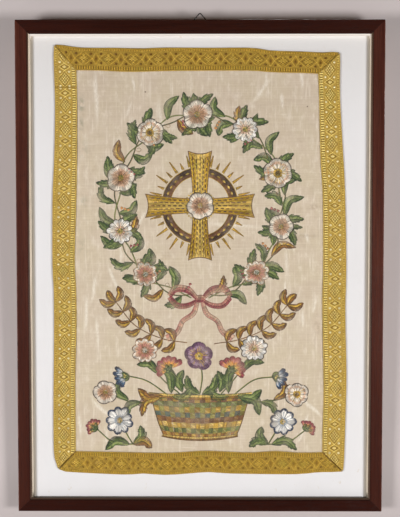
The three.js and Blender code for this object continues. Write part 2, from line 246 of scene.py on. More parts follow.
def mahogany(lie):
    dark, light = RAIL_COLOURS[lie]["dark"], RAIL_COLOURS[lie]["light"]
    material, surface = new_material("mahogany_" + lie, Specular_IOR_Level=0.07)
    place = object_coordinates(surface)
    grain = effect(wood_grain, Figure=1.0,
                   Vector=mapped(place, turn=(0, RAIL_GRAIN_TURN[lie], 0)))
    x, y, z = axes_of(place)
    if lie == "upright":
        half, across, bead_and_foot_shade = FRAME_HALF_WIDTH, x, 1.0
        uneven = maths("MAXIMUM", ramp(x, *BEAD_HIGHLIGHT_NARROWS["right"]), ramp(z, *BEAD_HIGHLIGHT_NARROWS["foot"]))
        # Painted shade: the uprights darken towards the foot, and the right one towards its head.
        head = times(ramp(z, *HEAD_PAINTED_SHADE), ramp(x, *TO_THE_RIGHT))
        coats = [(maths("MAXIMUM", ramp(z, *FOOT_PAINTED_SHADE), head), scaled(dark, 0.7))]
    else:
        half, uneven = FRAME_HALF_HEIGHT, 0.0
        across = maths("SUBTRACT", z, FRAME_CENTRE_Z / 1000)
        # The bead paint and the painted shade of the level rails go on the bottom rail only.
        bead_and_foot_shade = ramp(across, 0.1, -0.1)
        # Painted light: the level rails turn lighter and redder towards their ends.
        coats = [(ramp(maths("ABSOLUTE", x), *LEVEL_ENDS_PAINTED_LIGHT),
                  RAIL_COLOURS["upright"]["dark"]),
                 # Painted shade on the bottom rail.
                 (times(bead_and_foot_shade, 0.35), FOOT_RAIL_SHADE)]
    wear_and_light = effect(rail_wear_and_light, Front=ramp(y, *FRONT_DEPTHS), Lip=ramp(y, *LIP_DEPTHS),
                  Inward=maths("SUBTRACT", half, times(maths("ABSOLUTE", across), 1000.0)),
                  Uneven=uneven)
    rubbed = noise(place, 34.0, 3.0)
    # Bead wear and painted light, uneven along the rail.
    bead_wear_and_painted_light = times(ramp(rubbed, 0.2, 0.5, 0.75, 1.0), bead_and_foot_shade)
    plug(surface["Base Color"], coated(
        dark, (grain["Tone"], light), *coats,
        (times(grain["Pores"], 0.45), scaled(dark, 0.4)),
        (times(wear_and_light["Arris"], ramp(rubbed, 0.3, 0.6)),
         tuple(channel * 1.5 + 0.012 for channel in light)),
        # Dark wax and painted shade in the quirk.
        (times(wear_and_light["Quirk"], 0.8), scaled(dark, 0.5)),
        (times(wear_and_light["Bead"], bead_wear_and_painted_light), BEAD_COLOURS[lie]),
        (times(wear_and_light["Bead edge"], bead_wear_and_painted_light), BEAD_EDGE_COLOURS[lie])))
    plug(surface["Roughness"], ramp(grain["Pores"], 0.0, 1.0, 0.3, 0.55))
    bumped(surface, grain["Height"], 0.00012, 0.5)
    return material


for lie, rails in RAILS.items():
    dress(mahogany(lie), *rails)

# Mitres: dark wax that fills the saw cuts at the four corners. It was rubbed in after the
# rails were joined, and lies a little below their face.
MITRE_SINK = 0.12
MITRE_HALF = 0.212
# Outline of the wax along the cut: distance in from the outer edge and depth.
MITRE_SECTION = [(0.4, 22.0), (0.4, 2.0), (2.0, 0.0), (21.0, 0.0), (21.0, 0.9), (24.9, 2.4),
                 (24.9, 5.0), (17.0, 5.0), (17.0, 22.0)]


def made_object(name, shape, material):
    """An object at the origin from a mesh or a bmesh."""
    if isinstance(shape, bmesh.types.BMesh):
        mesh = bpy.data.meshes.new(name)
        shape.to_mesh(mesh)
        shape.free()
        shape = mesh
    shape.materials.append(material)
    made = bpy.data.objects.new(name, shape)
    bpy.context.collection.objects.link(made)
    return made


def finished(name, shape, material, smooth=True):
    """A piece that rides on the one body."""
    made = made_object(name, shape, material)
    for face in made.data.polygons:
        face.use_smooth = smooth
    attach(made, "root")
    return made


wax = new_material("mitre_wax", Base_Color=(0.022, 0.0075, 0.0052), Roughness=0.5,
                   Specular_IOR_Level=0.1)[0]
face_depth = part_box("rail_top")[0].y
mitres = bmesh.new()
for right in (-1, 1):
    for up in (-1, 1):
        corner = Vector((right * FRAME_HALF_WIDTH / 1000, face_depth,
                         (up * FRAME_HALF_HEIGHT + FRAME_CENTRE_Z) / 1000))
        across = Vector((up, 0, -right)).normalized() * MITRE_HALF / 1000
        flat = [mitres.verts.new(corner + across + Vector(
            (-right * inward, depth + MITRE_SINK, -up * inward)) / 1000)
            for inward, depth in MITRE_SECTION]
        face = mitres.faces.new(flat)
        grown = bmesh.ops.extrude_face_region(mitres, geom=[face])["geom"]
        moved = [part for part in grown if isinstance(part, bmesh.types.BMVert)]
        bmesh.ops.translate(mitres, verts=moved, vec=-2 * across)
bmesh.ops.recalc_face_normals(mitres, faces=mitres.faces)
finished("mitre_wax", mitres, wax, smooth=False)

# Fillet: thin cream-painted strips behind the lip, which keep the lip off the cloth.
# The matt paint has gone yellow in patches. The sides are painted dark as shade, the top
# strip lighter as painted light, and the foot strip dark as painted shade.
FILLET_COLOUR = (0.90, 0.80, 0.67)
FILLET_AGED = (0.76, 0.64, 0.48)
FILLET_PAINTED_LIGHT = (0.90, 0.83, 0.76)
FILLET_SIDE_SHADE = (0.30, 0.235, 0.16)
FILLET_FOOT_SHADE = (0.10, 0.075, 0.045)
FILLET_SIDE_STARTS = 0.0002  # behind the front of a strip
FILLET_SIDE_FULL = 0.001
FILLET_TOP = (-0.050, -0.042)
FILLET_FOOT = (-0.862, -0.872)

fillet_paint, surface = new_material("fillet_paint", Roughness=0.62)
place = object_coordinates(surface)
_, y, z = axes_of(place)
fillet_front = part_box("spacer_left")[0].y
plug(surface["Base Color"], coated(
    FILLET_COLOUR,
    (ramp(noise(place, 22.0, 4.0), 0.35, 0.75, 0.0, 0.5), FILLET_AGED),
    # Painted shade on the sides of the strips, painted light on the top strip and painted shade on the
    # foot strip.
    (ramp(y, fillet_front + FILLET_SIDE_STARTS, fillet_front + FILLET_SIDE_FULL),
     FILLET_SIDE_SHADE),
    (ramp(z, *FILLET_TOP), FILLET_PAINTED_LIGHT),
    (ramp(z, *FILLET_FOOT, 0.0, 0.9), FILLET_FOOT_SHADE)))
bumped(surface, noise(place, 260.0, 3.0), 0.00015, 0.4)
dress(fillet_paint, "spacer_top", "spacer_right", "spacer_bottom", "spacer_left")

# Mount board: pale rag card with a fine tooth. It has faint foxing, and is warmer and
# darker towards the top.
CARD_COLOUR = (0.783, 0.762, 0.762)
CARD_WARM = (0.722, 0.694, 0.676)
CARD_WARMS = (-0.25, -0.03)  # heights
FOXING_COLOUR = (0.60, 0.50, 0.38)
CARD_EDGE_SHADE = (0.66, 0.585, 0.48)  # warm painted shade beside the fillets, where the frame's shadow falls
CARD_EDGE_SHADE_REACH = (0.2965, 0.3015)

card, surface = new_material("mount_card", Roughness=0.9)
place = object_coordinates(surface)
x, _, z = axes_of(place)
freckles = times(ramp(noise(place, 110.0), 0.66, 0.80), ramp(noise(place, 9.0), 0.44, 0.60))
plug(surface["Base Color"], coated(
    CARD_COLOUR, (ramp(z, *CARD_WARMS), CARD_WARM),
    (ramp(noise(place, 7.0, 5.0, 0.6), 0.45, 0.75, 0.0, 0.35), CARD_WARM),
    (times(freckles, 0.5), FOXING_COLOUR),
    # Painted shade beside the fillets.
    (ramp(maths("ABSOLUTE", x), *CARD_EDGE_SHADE_REACH, 0.0, 0.85), CARD_EDGE_SHADE)))
bumped(surface, noise(place, 1400.0, 3.0), 0.0001, 0.35)
dress(card, "mount_board")

# Back board: a plain sheet of pressed fibreboard that closes the rabbet. It is held by
# small steel brads, driven into the rails flat against the board.
BACKING_COLOURS = {"dark": (0.185, 0.118, 0.072), "light": (0.32, 0.220, 0.140),
                   "fleck": (0.45, 0.34, 0.22)}
STEEL_COLOURS = {"clean": (0.42, 0.41, 0.40), "rust": (0.16, 0.085, 0.05)}
BRAD_RADIUS = 0.0006
BRAD_LENGTH = 0.011
BRAD_HEAD_RADIUS = 0.0011
BRAD_HEAD_HEIGHT = 0.0006
BRAD_PITCH = 0.115
BRAD_SIDES = 10
BRAD_SLIPS = {"across": 0.012, "up": -0.009}  # the lower and left rows stand out of step

fibreboard, surface = new_material("fibreboard", Roughness=0.85)
place = object_coordinates(surface)
mottle = noise(place, (230.0, 230.0, 322.0), 5.0, 0.65)
flecks = ramp(noise(place, (420.0, 420.0, 1260.0)), 0.62, 0.72)
plug(surface["Base Color"], coated(
    BACKING_COLOURS["dark"], (ramp(mottle, 0.3, 0.7), BACKING_COLOURS["light"]),
    (ramp(noise(place, 7.0, 4.0), 0.4, 0.7, 0.0, 0.35), BACKING_COLOURS["dark"]),
    (times(flecks, 0.5), BACKING_COLOURS["fleck"])))
bumped(surface, mottle, 0.0004, 0.5)
dress(fibreboard, "back_board")

steel, surface = new_material("brad_steel", Metallic=0.9)
rust = ramp(noise(object_coordinates(surface), 320.0, 4.0), 0.45, 0.65)
plug(surface["Base Color"], mixed(rust, STEEL_COLOURS["clean"], STEEL_COLOURS["rust"]))
plug(surface["Roughness"], ramp(rust, 0.0, 1.0, 0.35, 0.8))

back_low, back_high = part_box("back_board")
brads = bmesh.new()


def turned_up_to(way):
    """The turn that brings +Z to a direction."""
    return Vector((0, 0, 1)).rotation_difference(Vector(way)).to_matrix()


def drive_brad(x, z, turn):
    """A brad lies on the board and points outwards, its head towards the middle."""
    brad = []
    for radius, length, back in ((BRAD_RADIUS, BRAD_LENGTH, 0.0),
                                 (BRAD_HEAD_RADIUS, BRAD_HEAD_HEIGHT, BRAD_LENGTH / 2)):
        part = bmesh.ops.create_cone(brads, cap_ends=True, segments=BRAD_SIDES,
                                     radius1=radius, radius2=radius, depth=length)["verts"]
        bmesh.ops.translate(brads, verts=part, vec=(0, 0, -back))
        brad += part
    bmesh.ops.rotate(brads, verts=brad, cent=(0, 0, 0),
                     matrix=turned_up_to((math.cos(turn), 0, math.sin(turn))))
    bmesh.ops.translate(brads, verts=brad, vec=(x, back_high.y + BRAD_HEAD_RADIUS, z))


inset = BRAD_LENGTH / 2
middle = (back_low + back_high) / 2
for step in (-2, -1, 0, 1, 2):
    x = middle.x + step * BRAD_PITCH
    drive_brad(x, back_high.z - inset, math.radians(90))
    drive_brad(x + BRAD_SLIPS["across"], back_low.z + inset, math.radians(-90))
for step in (-3, -2, -1, 0, 1, 2, 3):
    z = middle.z + step * BRAD_PITCH
    drive_brad(back_high.x - inset, z, 0.0)
    drive_brad(back_low.x + inset, z + BRAD_SLIPS["up"], math.radians(180))
finished("brads", brads, steel)

# Silk: one cut of fine cream silk, woven plain with slubs, the ground of the needlework.
# It lies on the card with soft creases, and is held round its edge by the braid.
SILK_COLOUR = (0.640, 0.520, 0.385)
SILK_SHADE = (0.545, 0.430, 0.300)
SILK_LIGHT = (0.800, 0.700, 0.570)
SILK_CREASE_HIGHLIGHT = (0.880, 0.800, 0.670)  # painted highlight along the creases
SILK_YELLOWED = (0.610, 0.505, 0.340)
SILK_TOP_SHADE = (0.955, 0.950, 0.970)  # painted shade: what the upper part keeps of its lightness
SILK_TOP_SHADE_HEIGHTS = (-0.32, -0.14)  # heights
STAIN_BROWN = (0.30, 0.185, 0.105)
STAIN_GREEN = (0.20, 0.20, 0.12)
SPECK_COLOUR = (0.12, 0.065, 0.045)
SILK_CUTS = 7
SILK_SMOOTHING = 12
CREASE_STRENGTH = 1.6
# Painted highlight along the crease ridges, for each millimetre of their height.
CREASE_HIGHLIGHT = 2.6
RIPPLES = 18
RIPPLE_HEIGHT = 0.085
RIPPLE_LENGTHS = (34, 11)  # of the first in millimetres, and what each next one adds
# Creases: middle and lean on the picture in millimetres and degrees from upright,
# then length, width and height. A height under nothing is a trough.
CREASES = [
    (-128, 284, -26, 26, 5.0, 0.45), (-186, 309, 0, 72, 8.0, 0.40), (-119, 331, 2, 24, 5.0, 0.40),
    (-106, 87, -32, 32, 5.0, 0.50), (-143, 29, 0, 34, 5.0, 0.45), (-156, -21, 20, 46, 6.0, 0.50),
    (-192, -38, -12, 44, 6.5, 0.45), (-206, -84, -6, 60, 8.0, 0.35), (-84, 14, 90, 15, 3.0, -0.30),
    (40, 5, 88, 58, 4.0, -0.35), (178, 13, 90, 15, 3.0, -0.30), (148, 43, 28, 14, 4.5, 0.55),
    (157, 11, 0, 36, 4.5, 0.45), (168, 37, 8, 18, 4.0, 0.40), (193, 54, 16, 16, 4.5, 0.45),
    (154, -39, 0, 26, 4.5, 0.45), (208, -67, -18, 26, 5.0, 0.55), (152, -88, 0, 34, 5.0, 0.45),
    (186, -92, -4, 26, 5.0, 0.45), (111, 319, -38, 46, 7.0, 0.45), (118, 339, -12, 20, 5.0, 0.35),
    (147, 299, 0, 26, 6.0, 0.35), (183, 337, 0, 26, 6.0, 0.35), (-176, -260, 44, 44, 8.0, 0.55),
    (-186, -116, 0, 48, 7.0, 0.35), (-170, -307, -8, 22, 6.0, 0.45), (-148, -311, 0, 22, 6.0, 0.40),
    (-218, -285, 2, 34, 7.0, 0.40), (-49, -291, 0, 40, 6.0, 0.40), (-37, -225, 0, 30, 5.0, 0.35),
    (204, -255, 46, 34, 7.0, 0.65), (193, -281, -16, 26, 6.0, 0.60), (184, -305, -28, 24, 6.0, 0.65),
    (55, -307, 0, 28, 5.0, 0.40), (60, 77, 84, 90, 9.0, 0.25), (-70, 269, 4, 60, 9.0, 0.25),
    (70, -184, -6, 80, 10.0, 0.25),
]
# Marks of age: middle and reach in millimetres, then shares of brown and green-grey.
STAINS = [
    (-213, 293, 5.0, 12.0, 0.0, 0.75), (-214, 259, 4.0, 9.0, 0.0, 0.65), (-209, 120, 7.0, 9.0, 0.0, 0.35),
    (-212, 37, 6.0, 14.0, 0.1, 0.25), (-208, 214, 8.0, 16.0, 0.0, 0.25), (206, 110, 9.0, 6.0, 0.5, 0.0),
    (192, 58, 16.0, 4.0, 0.35, 0.15), (176, 51, 8.0, 3.0, 0.4, 0.0), (131, 8, 9.0, 5.0, 0.4, 0.0),
    (-60, 22, 22.0, 12.0, 0.12, 0.0), (60, 309, 26.0, 14.0, 0.1, 0.0), (212, -104, 6.0, 20.0, 0.3, 0.0),
    (120, -295, 22.0, 9.0, 0.1, 0.0),
]
# Small specks: x, z and radius in millimetres.
SPECKS = [(-98.0, 316.0, 1.7), (192.6, 289.8, 1.6), (-81.7, 217.5, 1.2)]


def picture_to_frame(x, z):
    """Millimetres from the middle of the frame to metres in the shared frame."""
    return x / 1000, (z + FRAME_CENTRE_Z) / 1000


def faces_front(face):
    return face.normal.y < -0.5


def cloth_copy(node_name, cuts):
    """A merged copy of a cloth node, its front cut finer."""
    copy = bmesh.new()
    copy.from_mesh(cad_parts[node_name].data)
    bmesh.ops.remove_doubles(copy, verts=copy.verts, dist=1e-6)
    edges = list({edge for face in copy.faces if faces_front(face) for edge in face.edges})
    bmesh.ops.subdivide_edges(copy, edges=edges, cuts=cuts, use_grid_fill=True)
    return copy


def crease_heights(x, z):
    """Height in millimetres at points of the picture, from the creases."""
    total = np.zeros_like(x)
    for cx, cz, lean, length, width, height in CREASES:
        turn = math.radians(lean)
        side = (x - cx) * math.cos(turn) + (z - cz) * math.sin(turn)
        run = -(x - cx) * math.sin(turn) + (z - cz) * math.cos(turn)
        bow = side + 0.15 * width * np.sin(run / length * 5.0)
        total += CREASE_STRENGTH * height * np.exp(-(bow / (0.32 * width)) ** 2
                                                   - np.abs(run / (0.5 * length)) ** 3)
    return total


silk_mesh = cloth_copy("silk_panel", SILK_CUTS)
stain_and_highlight_layer = silk_mesh.verts.layers.float_color.new("cloth_stains_and_highlight")
silk_mesh.normal_update()
front = list({point for face in silk_mesh.faces if faces_front(face) for point in face.verts})
inner = [point for point in front if all(faces_front(face) for face in point.link_faces)]
for _ in range(SILK_SMOOTHING):
    bmesh.ops.smooth_vert(silk_mesh, verts=inner, factor=0.5, use_axis_x=False,
                          use_axis_y=True, use_axis_z=False)
px = np.array([point.co.x for point in inner]) * 1000
pz = np.array([point.co.z for point in inner]) * 1000 - FRAME_CENTRE_Z
crease = crease_heights(px, pz)
ripple = np.zeros_like(px)
waves = np.random.default_rng(7).uniform(0, 2 * math.pi, (RIPPLES, 2))
for number, (phase, turn) in enumerate(waves):
    wave_length = RIPPLE_LENGTHS[0] + RIPPLE_LENGTHS[1] * number
    ripple += RIPPLE_HEIGHT * np.sin((px * math.cos(turn) + pz * math.sin(turn))
                                     * 2 * math.pi / wave_length + phase)
brown, green = np.zeros_like(px), np.zeros_like(px)
for cx, cz, reach_x, reach_z, brown_share, green_share in STAINS:
    fall = np.exp(-((px - cx) / reach_x) ** 2 - ((pz - cz) / reach_z) ** 2)
    brown += brown_share * fall
    green += green_share * fall
# The cloth's layer holds the painted highlight along the creases and the shares of the stains.
for point in silk_mesh.verts:
    point[stain_and_highlight_layer] = (0.0, 0.0, 0.0, 1.0)
for point, lift, *shares in zip(inner, crease + ripple, crease * CREASE_HIGHLIGHT, brown, green):
    point.co.y -= lift / 1000
    point[stain_and_highlight_layer] = (*np.clip(shares, 0, 1), 1.0)


def ribs(vector, scale, across, distortion):
    return add(tree_of(vector), "TexWave", {
        "Vector": vector, "Scale": scale, "Distortion": distortion},
        bands_direction=across).outputs["Fac"]


# Weave: warp and weft that vary in thickness, with slubs. Coordinates are in metres.
weave, given, result = new_group("Plain weave", {"Vector": None},
                                 ("Warp", "Weft", "Slubs", "Height"))
vector = given["Vector"]
warp = noise(vector, (520.0, 1.0, 9.0), 3.0, 0.6)
weft = noise(vector, (9.0, 1.0, 560.0), 3.0, 0.6)
slubs = maths("MAXIMUM", ramp(noise(vector, (300.0, 1.0, 26.0), 1.0), 0.66, 0.80),
              ramp(noise(vector, (22.0, 1.0, 340.0), 1.0), 0.70, 0.82))
plug(result["Warp"], warp)
plug(result["Weft"], weft)
plug(result["Slubs"], slubs)
plug(result["Height"], maths(
    "ADD", times(ribs(vector, 260.0, "X", 0.6), ribs(vector, 280.0, "Z", 0.6)),
    maths("ADD", maths("ADD", warp, weft), slubs)))

# A small round spot at one place on the cloth.
spot, given, result = new_group("Spot", {"Vector": None, "X": 0.0, "Z": 0.0, "Radius": 1.0},
                                ("Mask",))
x, _, z = axes_of(given["Vector"])
away = [maths("SUBTRACT", at, given[label]) for at, label in ((x, "X"), (z, "Z"))]
away = maths("SQRT", maths("ADD", *(times(off, off) for off in away)))
plug(result["Mask"], ramp(maths("DIVIDE", away, given["Radius"]), 1.1, 0.5))

silk, surface = new_material("cream_silk", Roughness=0.5, Sheen_Weight=0.12,
                             Sheen_Roughness=0.4)
place = object_coordinates(surface)
threads = effect(weave, Vector=place)
stain_and_highlight = add(tree_of(place), "Attribute", attribute_name="cloth_stains_and_highlight").outputs["Color"]
crease_highlight, browned, greened = add(tree_of(place), "SeparateColor", {0: stain_and_highlight}).outputs
patchy = noise(place, (85.0, 1.0, 52.0), 4.0, 0.65)
streaks = []
for stretch, share in (((230.0, 1.0, 19.0), 0.66), ((21.0, 1.0, 260.0), 0.20)):
    streaked = noise(place, stretch, 2.0, 0.55)
    streaks += [(ramp(streaked, 0.54, 0.74, 0.0, share), SILK_LIGHT),
                (ramp(streaked, 0.42, 0.24, 0.0, share), SILK_SHADE)]
broken = ramp(noise(place, (420.0, 1.0, 190.0)), 0.35, 0.6, 0.30, 0.66)
cloth = coated(
    SILK_COLOUR, (ramp(noise(place, 11.0, 5.0, 0.6), 0.3, 0.7, 0.0, 0.6), SILK_SHADE),
    (ramp(noise(place, 24.0, 3.0), 0.35, 0.65, 0.0, 0.7), SILK_YELLOWED),
    (ramp(patchy, 0.5, 0.3, 0.0, 0.7), SILK_SHADE),
    (ramp(patchy, 0.5, 0.7, 0.0, 0.6), SILK_LIGHT), *streaks,
    (ramp(threads["Warp"], 0.35, 0.75, 0.0, 0.5), SILK_SHADE),
    (ramp(threads["Weft"], 0.4, 0.75, 0.0, 0.25), SILK_LIGHT),
    # Slubs, then the painted highlight along the creases.
    (times(threads["Slubs"], 0.6), SILK_LIGHT), (times(crease_highlight, broken), SILK_CREASE_HIGHLIGHT),
    (times(browned, ramp(noise(place, 130.0, 3.0), 0.35, 0.6)), STAIN_BROWN),
    (times(greened, ramp(noise(place, 110.0, 3.0), 0.35, 0.6)), STAIN_GREEN))
# Painted shade: the upper part of the silk is darkened.
cloth = mixed(ramp(axes_of(place)["Z"], *SILK_TOP_SHADE_HEIGHTS), cloth, SILK_TOP_SHADE, "MULTIPLY")
for x, z, radius in SPECKS:
    x, z = picture_to_frame(x, z)
    speck = effect(spot, Vector=place, X=x, Z=z, Radius=radius / 1000)["Mask"]
    cloth = mixed(times(speck, 0.8), cloth, SPECK_COLOUR)
plug(surface["Base Color"], cloth)
bumped(surface, threads["Height"], 0.00025, 0.55)

silk_piece = finished("silk", silk_mesh, silk)
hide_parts("silk_panel")

# Braid: a woven gold galloon of metal thread and silk, in five lengths, mitred at the
# corners and joined on the left side. Lozenges follow one another along it. The metal
# thread shines where it runs upright, across the light, and is dull elsewhere: the upright
# lengths get painted light and the level ones painted shade, as copies of the same colours.
BRAID_CUTS = 11
BRAID_WIDTH = 40.0
BRAID_REPEAT = 45.8  # as woven; sewing down has drawn each length in a little
BRAID_CENTRE = 18.9  # middle of the lozenges, from the outer edge
THREAD_PITCH = 0.95
# Lit and shaded copies of the same threads: painted sheen and shade, set by the way each length runs.
BRAID_COLOURS = {
    "upright": {
        "ground": (0.69, 0.45, 0.075), "dark": (0.30, 0.175, 0.025), "pale": (0.86, 0.64, 0.16),
        "float": (1.0, 0.78, 0.24), "bar": (1.0, 0.80, 0.28), "knot": (1.0, 0.87, 0.50),
        "edge": (0.48, 0.31, 0.055), "core": (0.33, 0.20, 0.028), "lattice": (1.0, 0.82, 0.30),
        "ring": (0.40, 0.25, 0.040), "shade": (0.30, 0.175, 0.025), "heart": (1.0, 0.78, 0.24)},
    "level": {
        "ground": (0.57, 0.355, 0.036), "dark": (0.20, 0.11, 0.010), "pale": (0.72, 0.46, 0.065),
        "float": (0.80, 0.535, 0.085), "bar": (0.68, 0.43, 0.058), "knot": (0.17, 0.066, 0.004),
        "edge": (0.38, 0.22, 0.022), "core": (0.72, 0.475, 0.068), "lattice": (0.20, 0.11, 0.010),
        "ring": (0.36, 0.21, 0.020), "shade": (0.44, 0.265, 0.026), "heart": (0.27, 0.125, 0.008)},
}
BRAIDS = {
    # name: axis that it runs along, lie, drawn-in repeat, middle of a small lozenge, and
    # how clear its figure still is
    "braid_top": (0, "level", 44.6, 37.0, 0.88),
    "braid_right": (1, "upright", 44.1, 24.3, 1.0),
    "braid_bottom": (0, "level", 41.7, 3.5, 0.62),
    "braid_left_upper": (1, "upright", 42.7, 19.0, 1.0),
    "braid_left_lower": (1, "upright", 42.7, 15.0, 1.0),
}
# Outlines of one repeat: middle along, half length along, half width across, thread.
LOZENGES = [(0.5, 16.2, 12.4, "float"), (0.5, 13.9, 10.6, "ring"), (0.0, 6.6, 10.8, "float"),
            (0.0, 4.3, 7.1, "shade"), (0.0, 2.2, 3.8, "heart")]
OUTLINE_REACH = 10.6  # the outlines keep clear of the bars on both edges
OUTLINE_PITCH = 1.05
CORE_LENGTH = 23.0
CORE_HALF = 9.4  # half the width at which the core would come to a point
LATTICE_STEPS = (-1.5, -0.5, 0.5, 1.5)
LATTICE_PITCH = (3.05, 2.3)  # along and across
DOT_ROWS = [(-1.55, 3.0), (-0.8, 4.4), (0.0, 5.0), (0.8, 4.4), (1.55, 3.0)]
DOT_PLACES = [(-9.3, -8.2), (-9.3, 8.2), (9.3, -8.2), (9.3, 8.2)]
BARS = 10
# Both edges: where across, then length, width and thread on a bar and in a gap.
BORDERS = [
    (np.arange(32.4, 37.9, THREAD_PITCH), (3.3, 1.3, "bar"), (2.3, 1.2, "dark")),
    (np.arange(2.8, 5.6, THREAD_PITCH), (3.1, 1.2, "pale"), (1.9, 1.1, "edge")),
    ([0.7], (2.8, 1.2, "ground"), (2.8, 1.2, "ground")),
    ([38.6], (2.8, 1.2, "edge"), (2.8, 1.2, "edge")),
    ([39.4], (2.8, 1.2, "pale"), (2.8, 1.2, "pale")),
]
THREAD_LAYERS = {"core": -0.6, "knot": 0.7, "lattice": 0.4}
THREAD_HALF = 0.43  # half a thread's foot, as a share of its width
THREAD_SINK = 0.06
LAYER_HEIGHT = 0.22
RIDGE_ENDS = 0.2  # where the ridge starts, as a share of a thread's length
THREAD_HEIGHTS = (0.42, 0.56)
THREAD_SHADES = (0.88, 1.12)


def braid_rows(node_name, axis):
    """Outer, middle and inner rows of a length of braid, each sorted along it."""
    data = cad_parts[node_name].data
    points = np.array([point.co for point in data.vertices]) * 1000
    points[:, 2] -= FRAME_CENTRE_Z
    used = sorted({number for face in data.polygons if faces_front(face)
                   for number in face.vertices})
    flat = np.unique(np.round(points[used][:, (0, 2)], 3), axis=0)
    order = np.argsort(-np.abs(flat[:, 1 - axis]))
    return [row[np.argsort(row[:, axis])] for row in np.split(flat[order], 3)]


def across_braid(rows, axis, along):
    """Places of the outer and inner edge beside points along the braid."""
    return [np.interp(along, row[:, axis], row[:, 1 - axis]) for row in (rows[0], rows[2])]


def surface_of(*pieces):
    points, faces = [], []
    for piece in pieces:
        faces += [[number + len(points) for number in face.vertices]
                  for face in piece.data.polygons]
        points += [point.co for point in piece.data.vertices]
    return BVHTree.FromPolygons(points, faces)


def depths(cloth, places):
    """Depth of a cloth's front in metres, at points of the picture in millimetres."""
    found = []
    for at in places:
        x, z = picture_to_frame(*at)
        hit = cloth.ray_cast((x, -0.05, z), (0, 1, 0))[0]
        found.append(np.nan if hit is None else hit.y)
    return np.array(found)


def sewn(name, stitches, cloth, material):
    """Raised threads on a cloth as one mesh. A thread is a closed ridge of 6 points.
    Columns: x and z of both ends, width, height, layer, and three of colour."""
    table = np.array(stitches, float)
    start, end = table[:, 0:2], table[:, 2:4]
    width, height, layer = table[:, 4], table[:, 5], table[:, 6]
    run = end - start
    side = np.column_stack([-run[:, 1], run[:, 0]]) / np.maximum(
        np.hypot(run[:, 0], run[:, 1]), 1e-6)[:, None] * width[:, None] * THREAD_HALF
    near, far = start + RIDGE_ENDS * run, start + (1 - RIDGE_ENDS) * run
    flat = np.stack([start + side, start - side, end + side, end - side, near, far], axis=1)
    begin, first, last, finish = (depths(cloth, spot) for spot in (start, near, far, end))
    foot = (THREAD_SINK - LAYER_HEIGHT * layer) / 1000
    top = (height + LAYER_HEIGHT * layer) / 1000
    y = np.stack([begin + foot, begin + foot, finish + foot, finish + foot, first - top,
                  last - top], axis=1)
    kept = ~np.isnan(begin + first + last + finish)
    points = np.stack([flat[:, :, 0] / 1000, y, (flat[:, :, 1] + FRAME_CENTRE_Z) / 1000],
                      axis=2)[kept]
    count = len(points)
    faces = []
    for one in ([(0, 1, 4), (2, 5, 3)], [(0, 4, 5, 2), (1, 3, 5, 4), (0, 2, 3, 1)]):
        every = np.array(one)[None] + 6 * np.arange(count)[:, None, None]
        faces += every.reshape(-1, len(one[0])).tolist()
    mesh = bpy.data.meshes.new(name)
    mesh.from_pydata(points.reshape(-1, 3).tolist(), [], faces)
    paint = mesh.attributes.new("thread", "FLOAT_COLOR", "POINT")
    colours = np.repeat(np.column_stack([table[kept, 7:10], np.ones(count)]), 6, axis=0)
    paint.data.foreach_set("color", colours.astype(np.float32).ravel())
    return finished(name, mesh, material)


def galloon_chart():
    """Threads of one repeat: places along and across, length, width and tone."""
    chart = []
    half = BRAID_REPEAT / 2
    for share, half_length, half_width, tone in LOZENGES:
        for q in np.arange(-half_width + 0.45, half_width, OUTLINE_PITCH):
            off = half_length * (1 - abs(q) / half_width)
            if abs(q) < OUTLINE_REACH:
                for s in {off, -off}:
                    chart.append((share * BRAID_REPEAT + s, BRAID_CENTRE + q, 2.7, 1.0, tone))
    for q in np.arange(-8.0, 8.1, 1.0):
        length = CORE_LENGTH * (1 - abs(q) / CORE_HALF)
        chart.append((half, BRAID_CENTRE + q, length, 1.2, "core"))
    for i in LATTICE_STEPS:
        for j in LATTICE_STEPS:
            for q in (-0.5, 0.5):
                chart.append((half + LATTICE_PITCH[0] * (i - j),
                              BRAID_CENTRE + LATTICE_PITCH[1] * (i + j) + q, 3.4, 1.15,
                              "lattice"))
    for q, length in DOT_ROWS:
        chart.append((0.0, BRAID_CENTRE + q * 1.3, length * 0.55, 1.0, "knot"))
        for s, hand in DOT_PLACES:
            chart.append((s, BRAID_CENTRE + hand + q, length, 1.0, "knot"))
    for bar in range(BARS):
        s = (bar + 0.5) * BRAID_REPEAT / BARS
        gap = s + half / BARS
        for places, on_bar, in_gap in BORDERS:
            for v in places:
                chart += [(s, v, *on_bar), (gap, v, *in_gap)]
    return chart


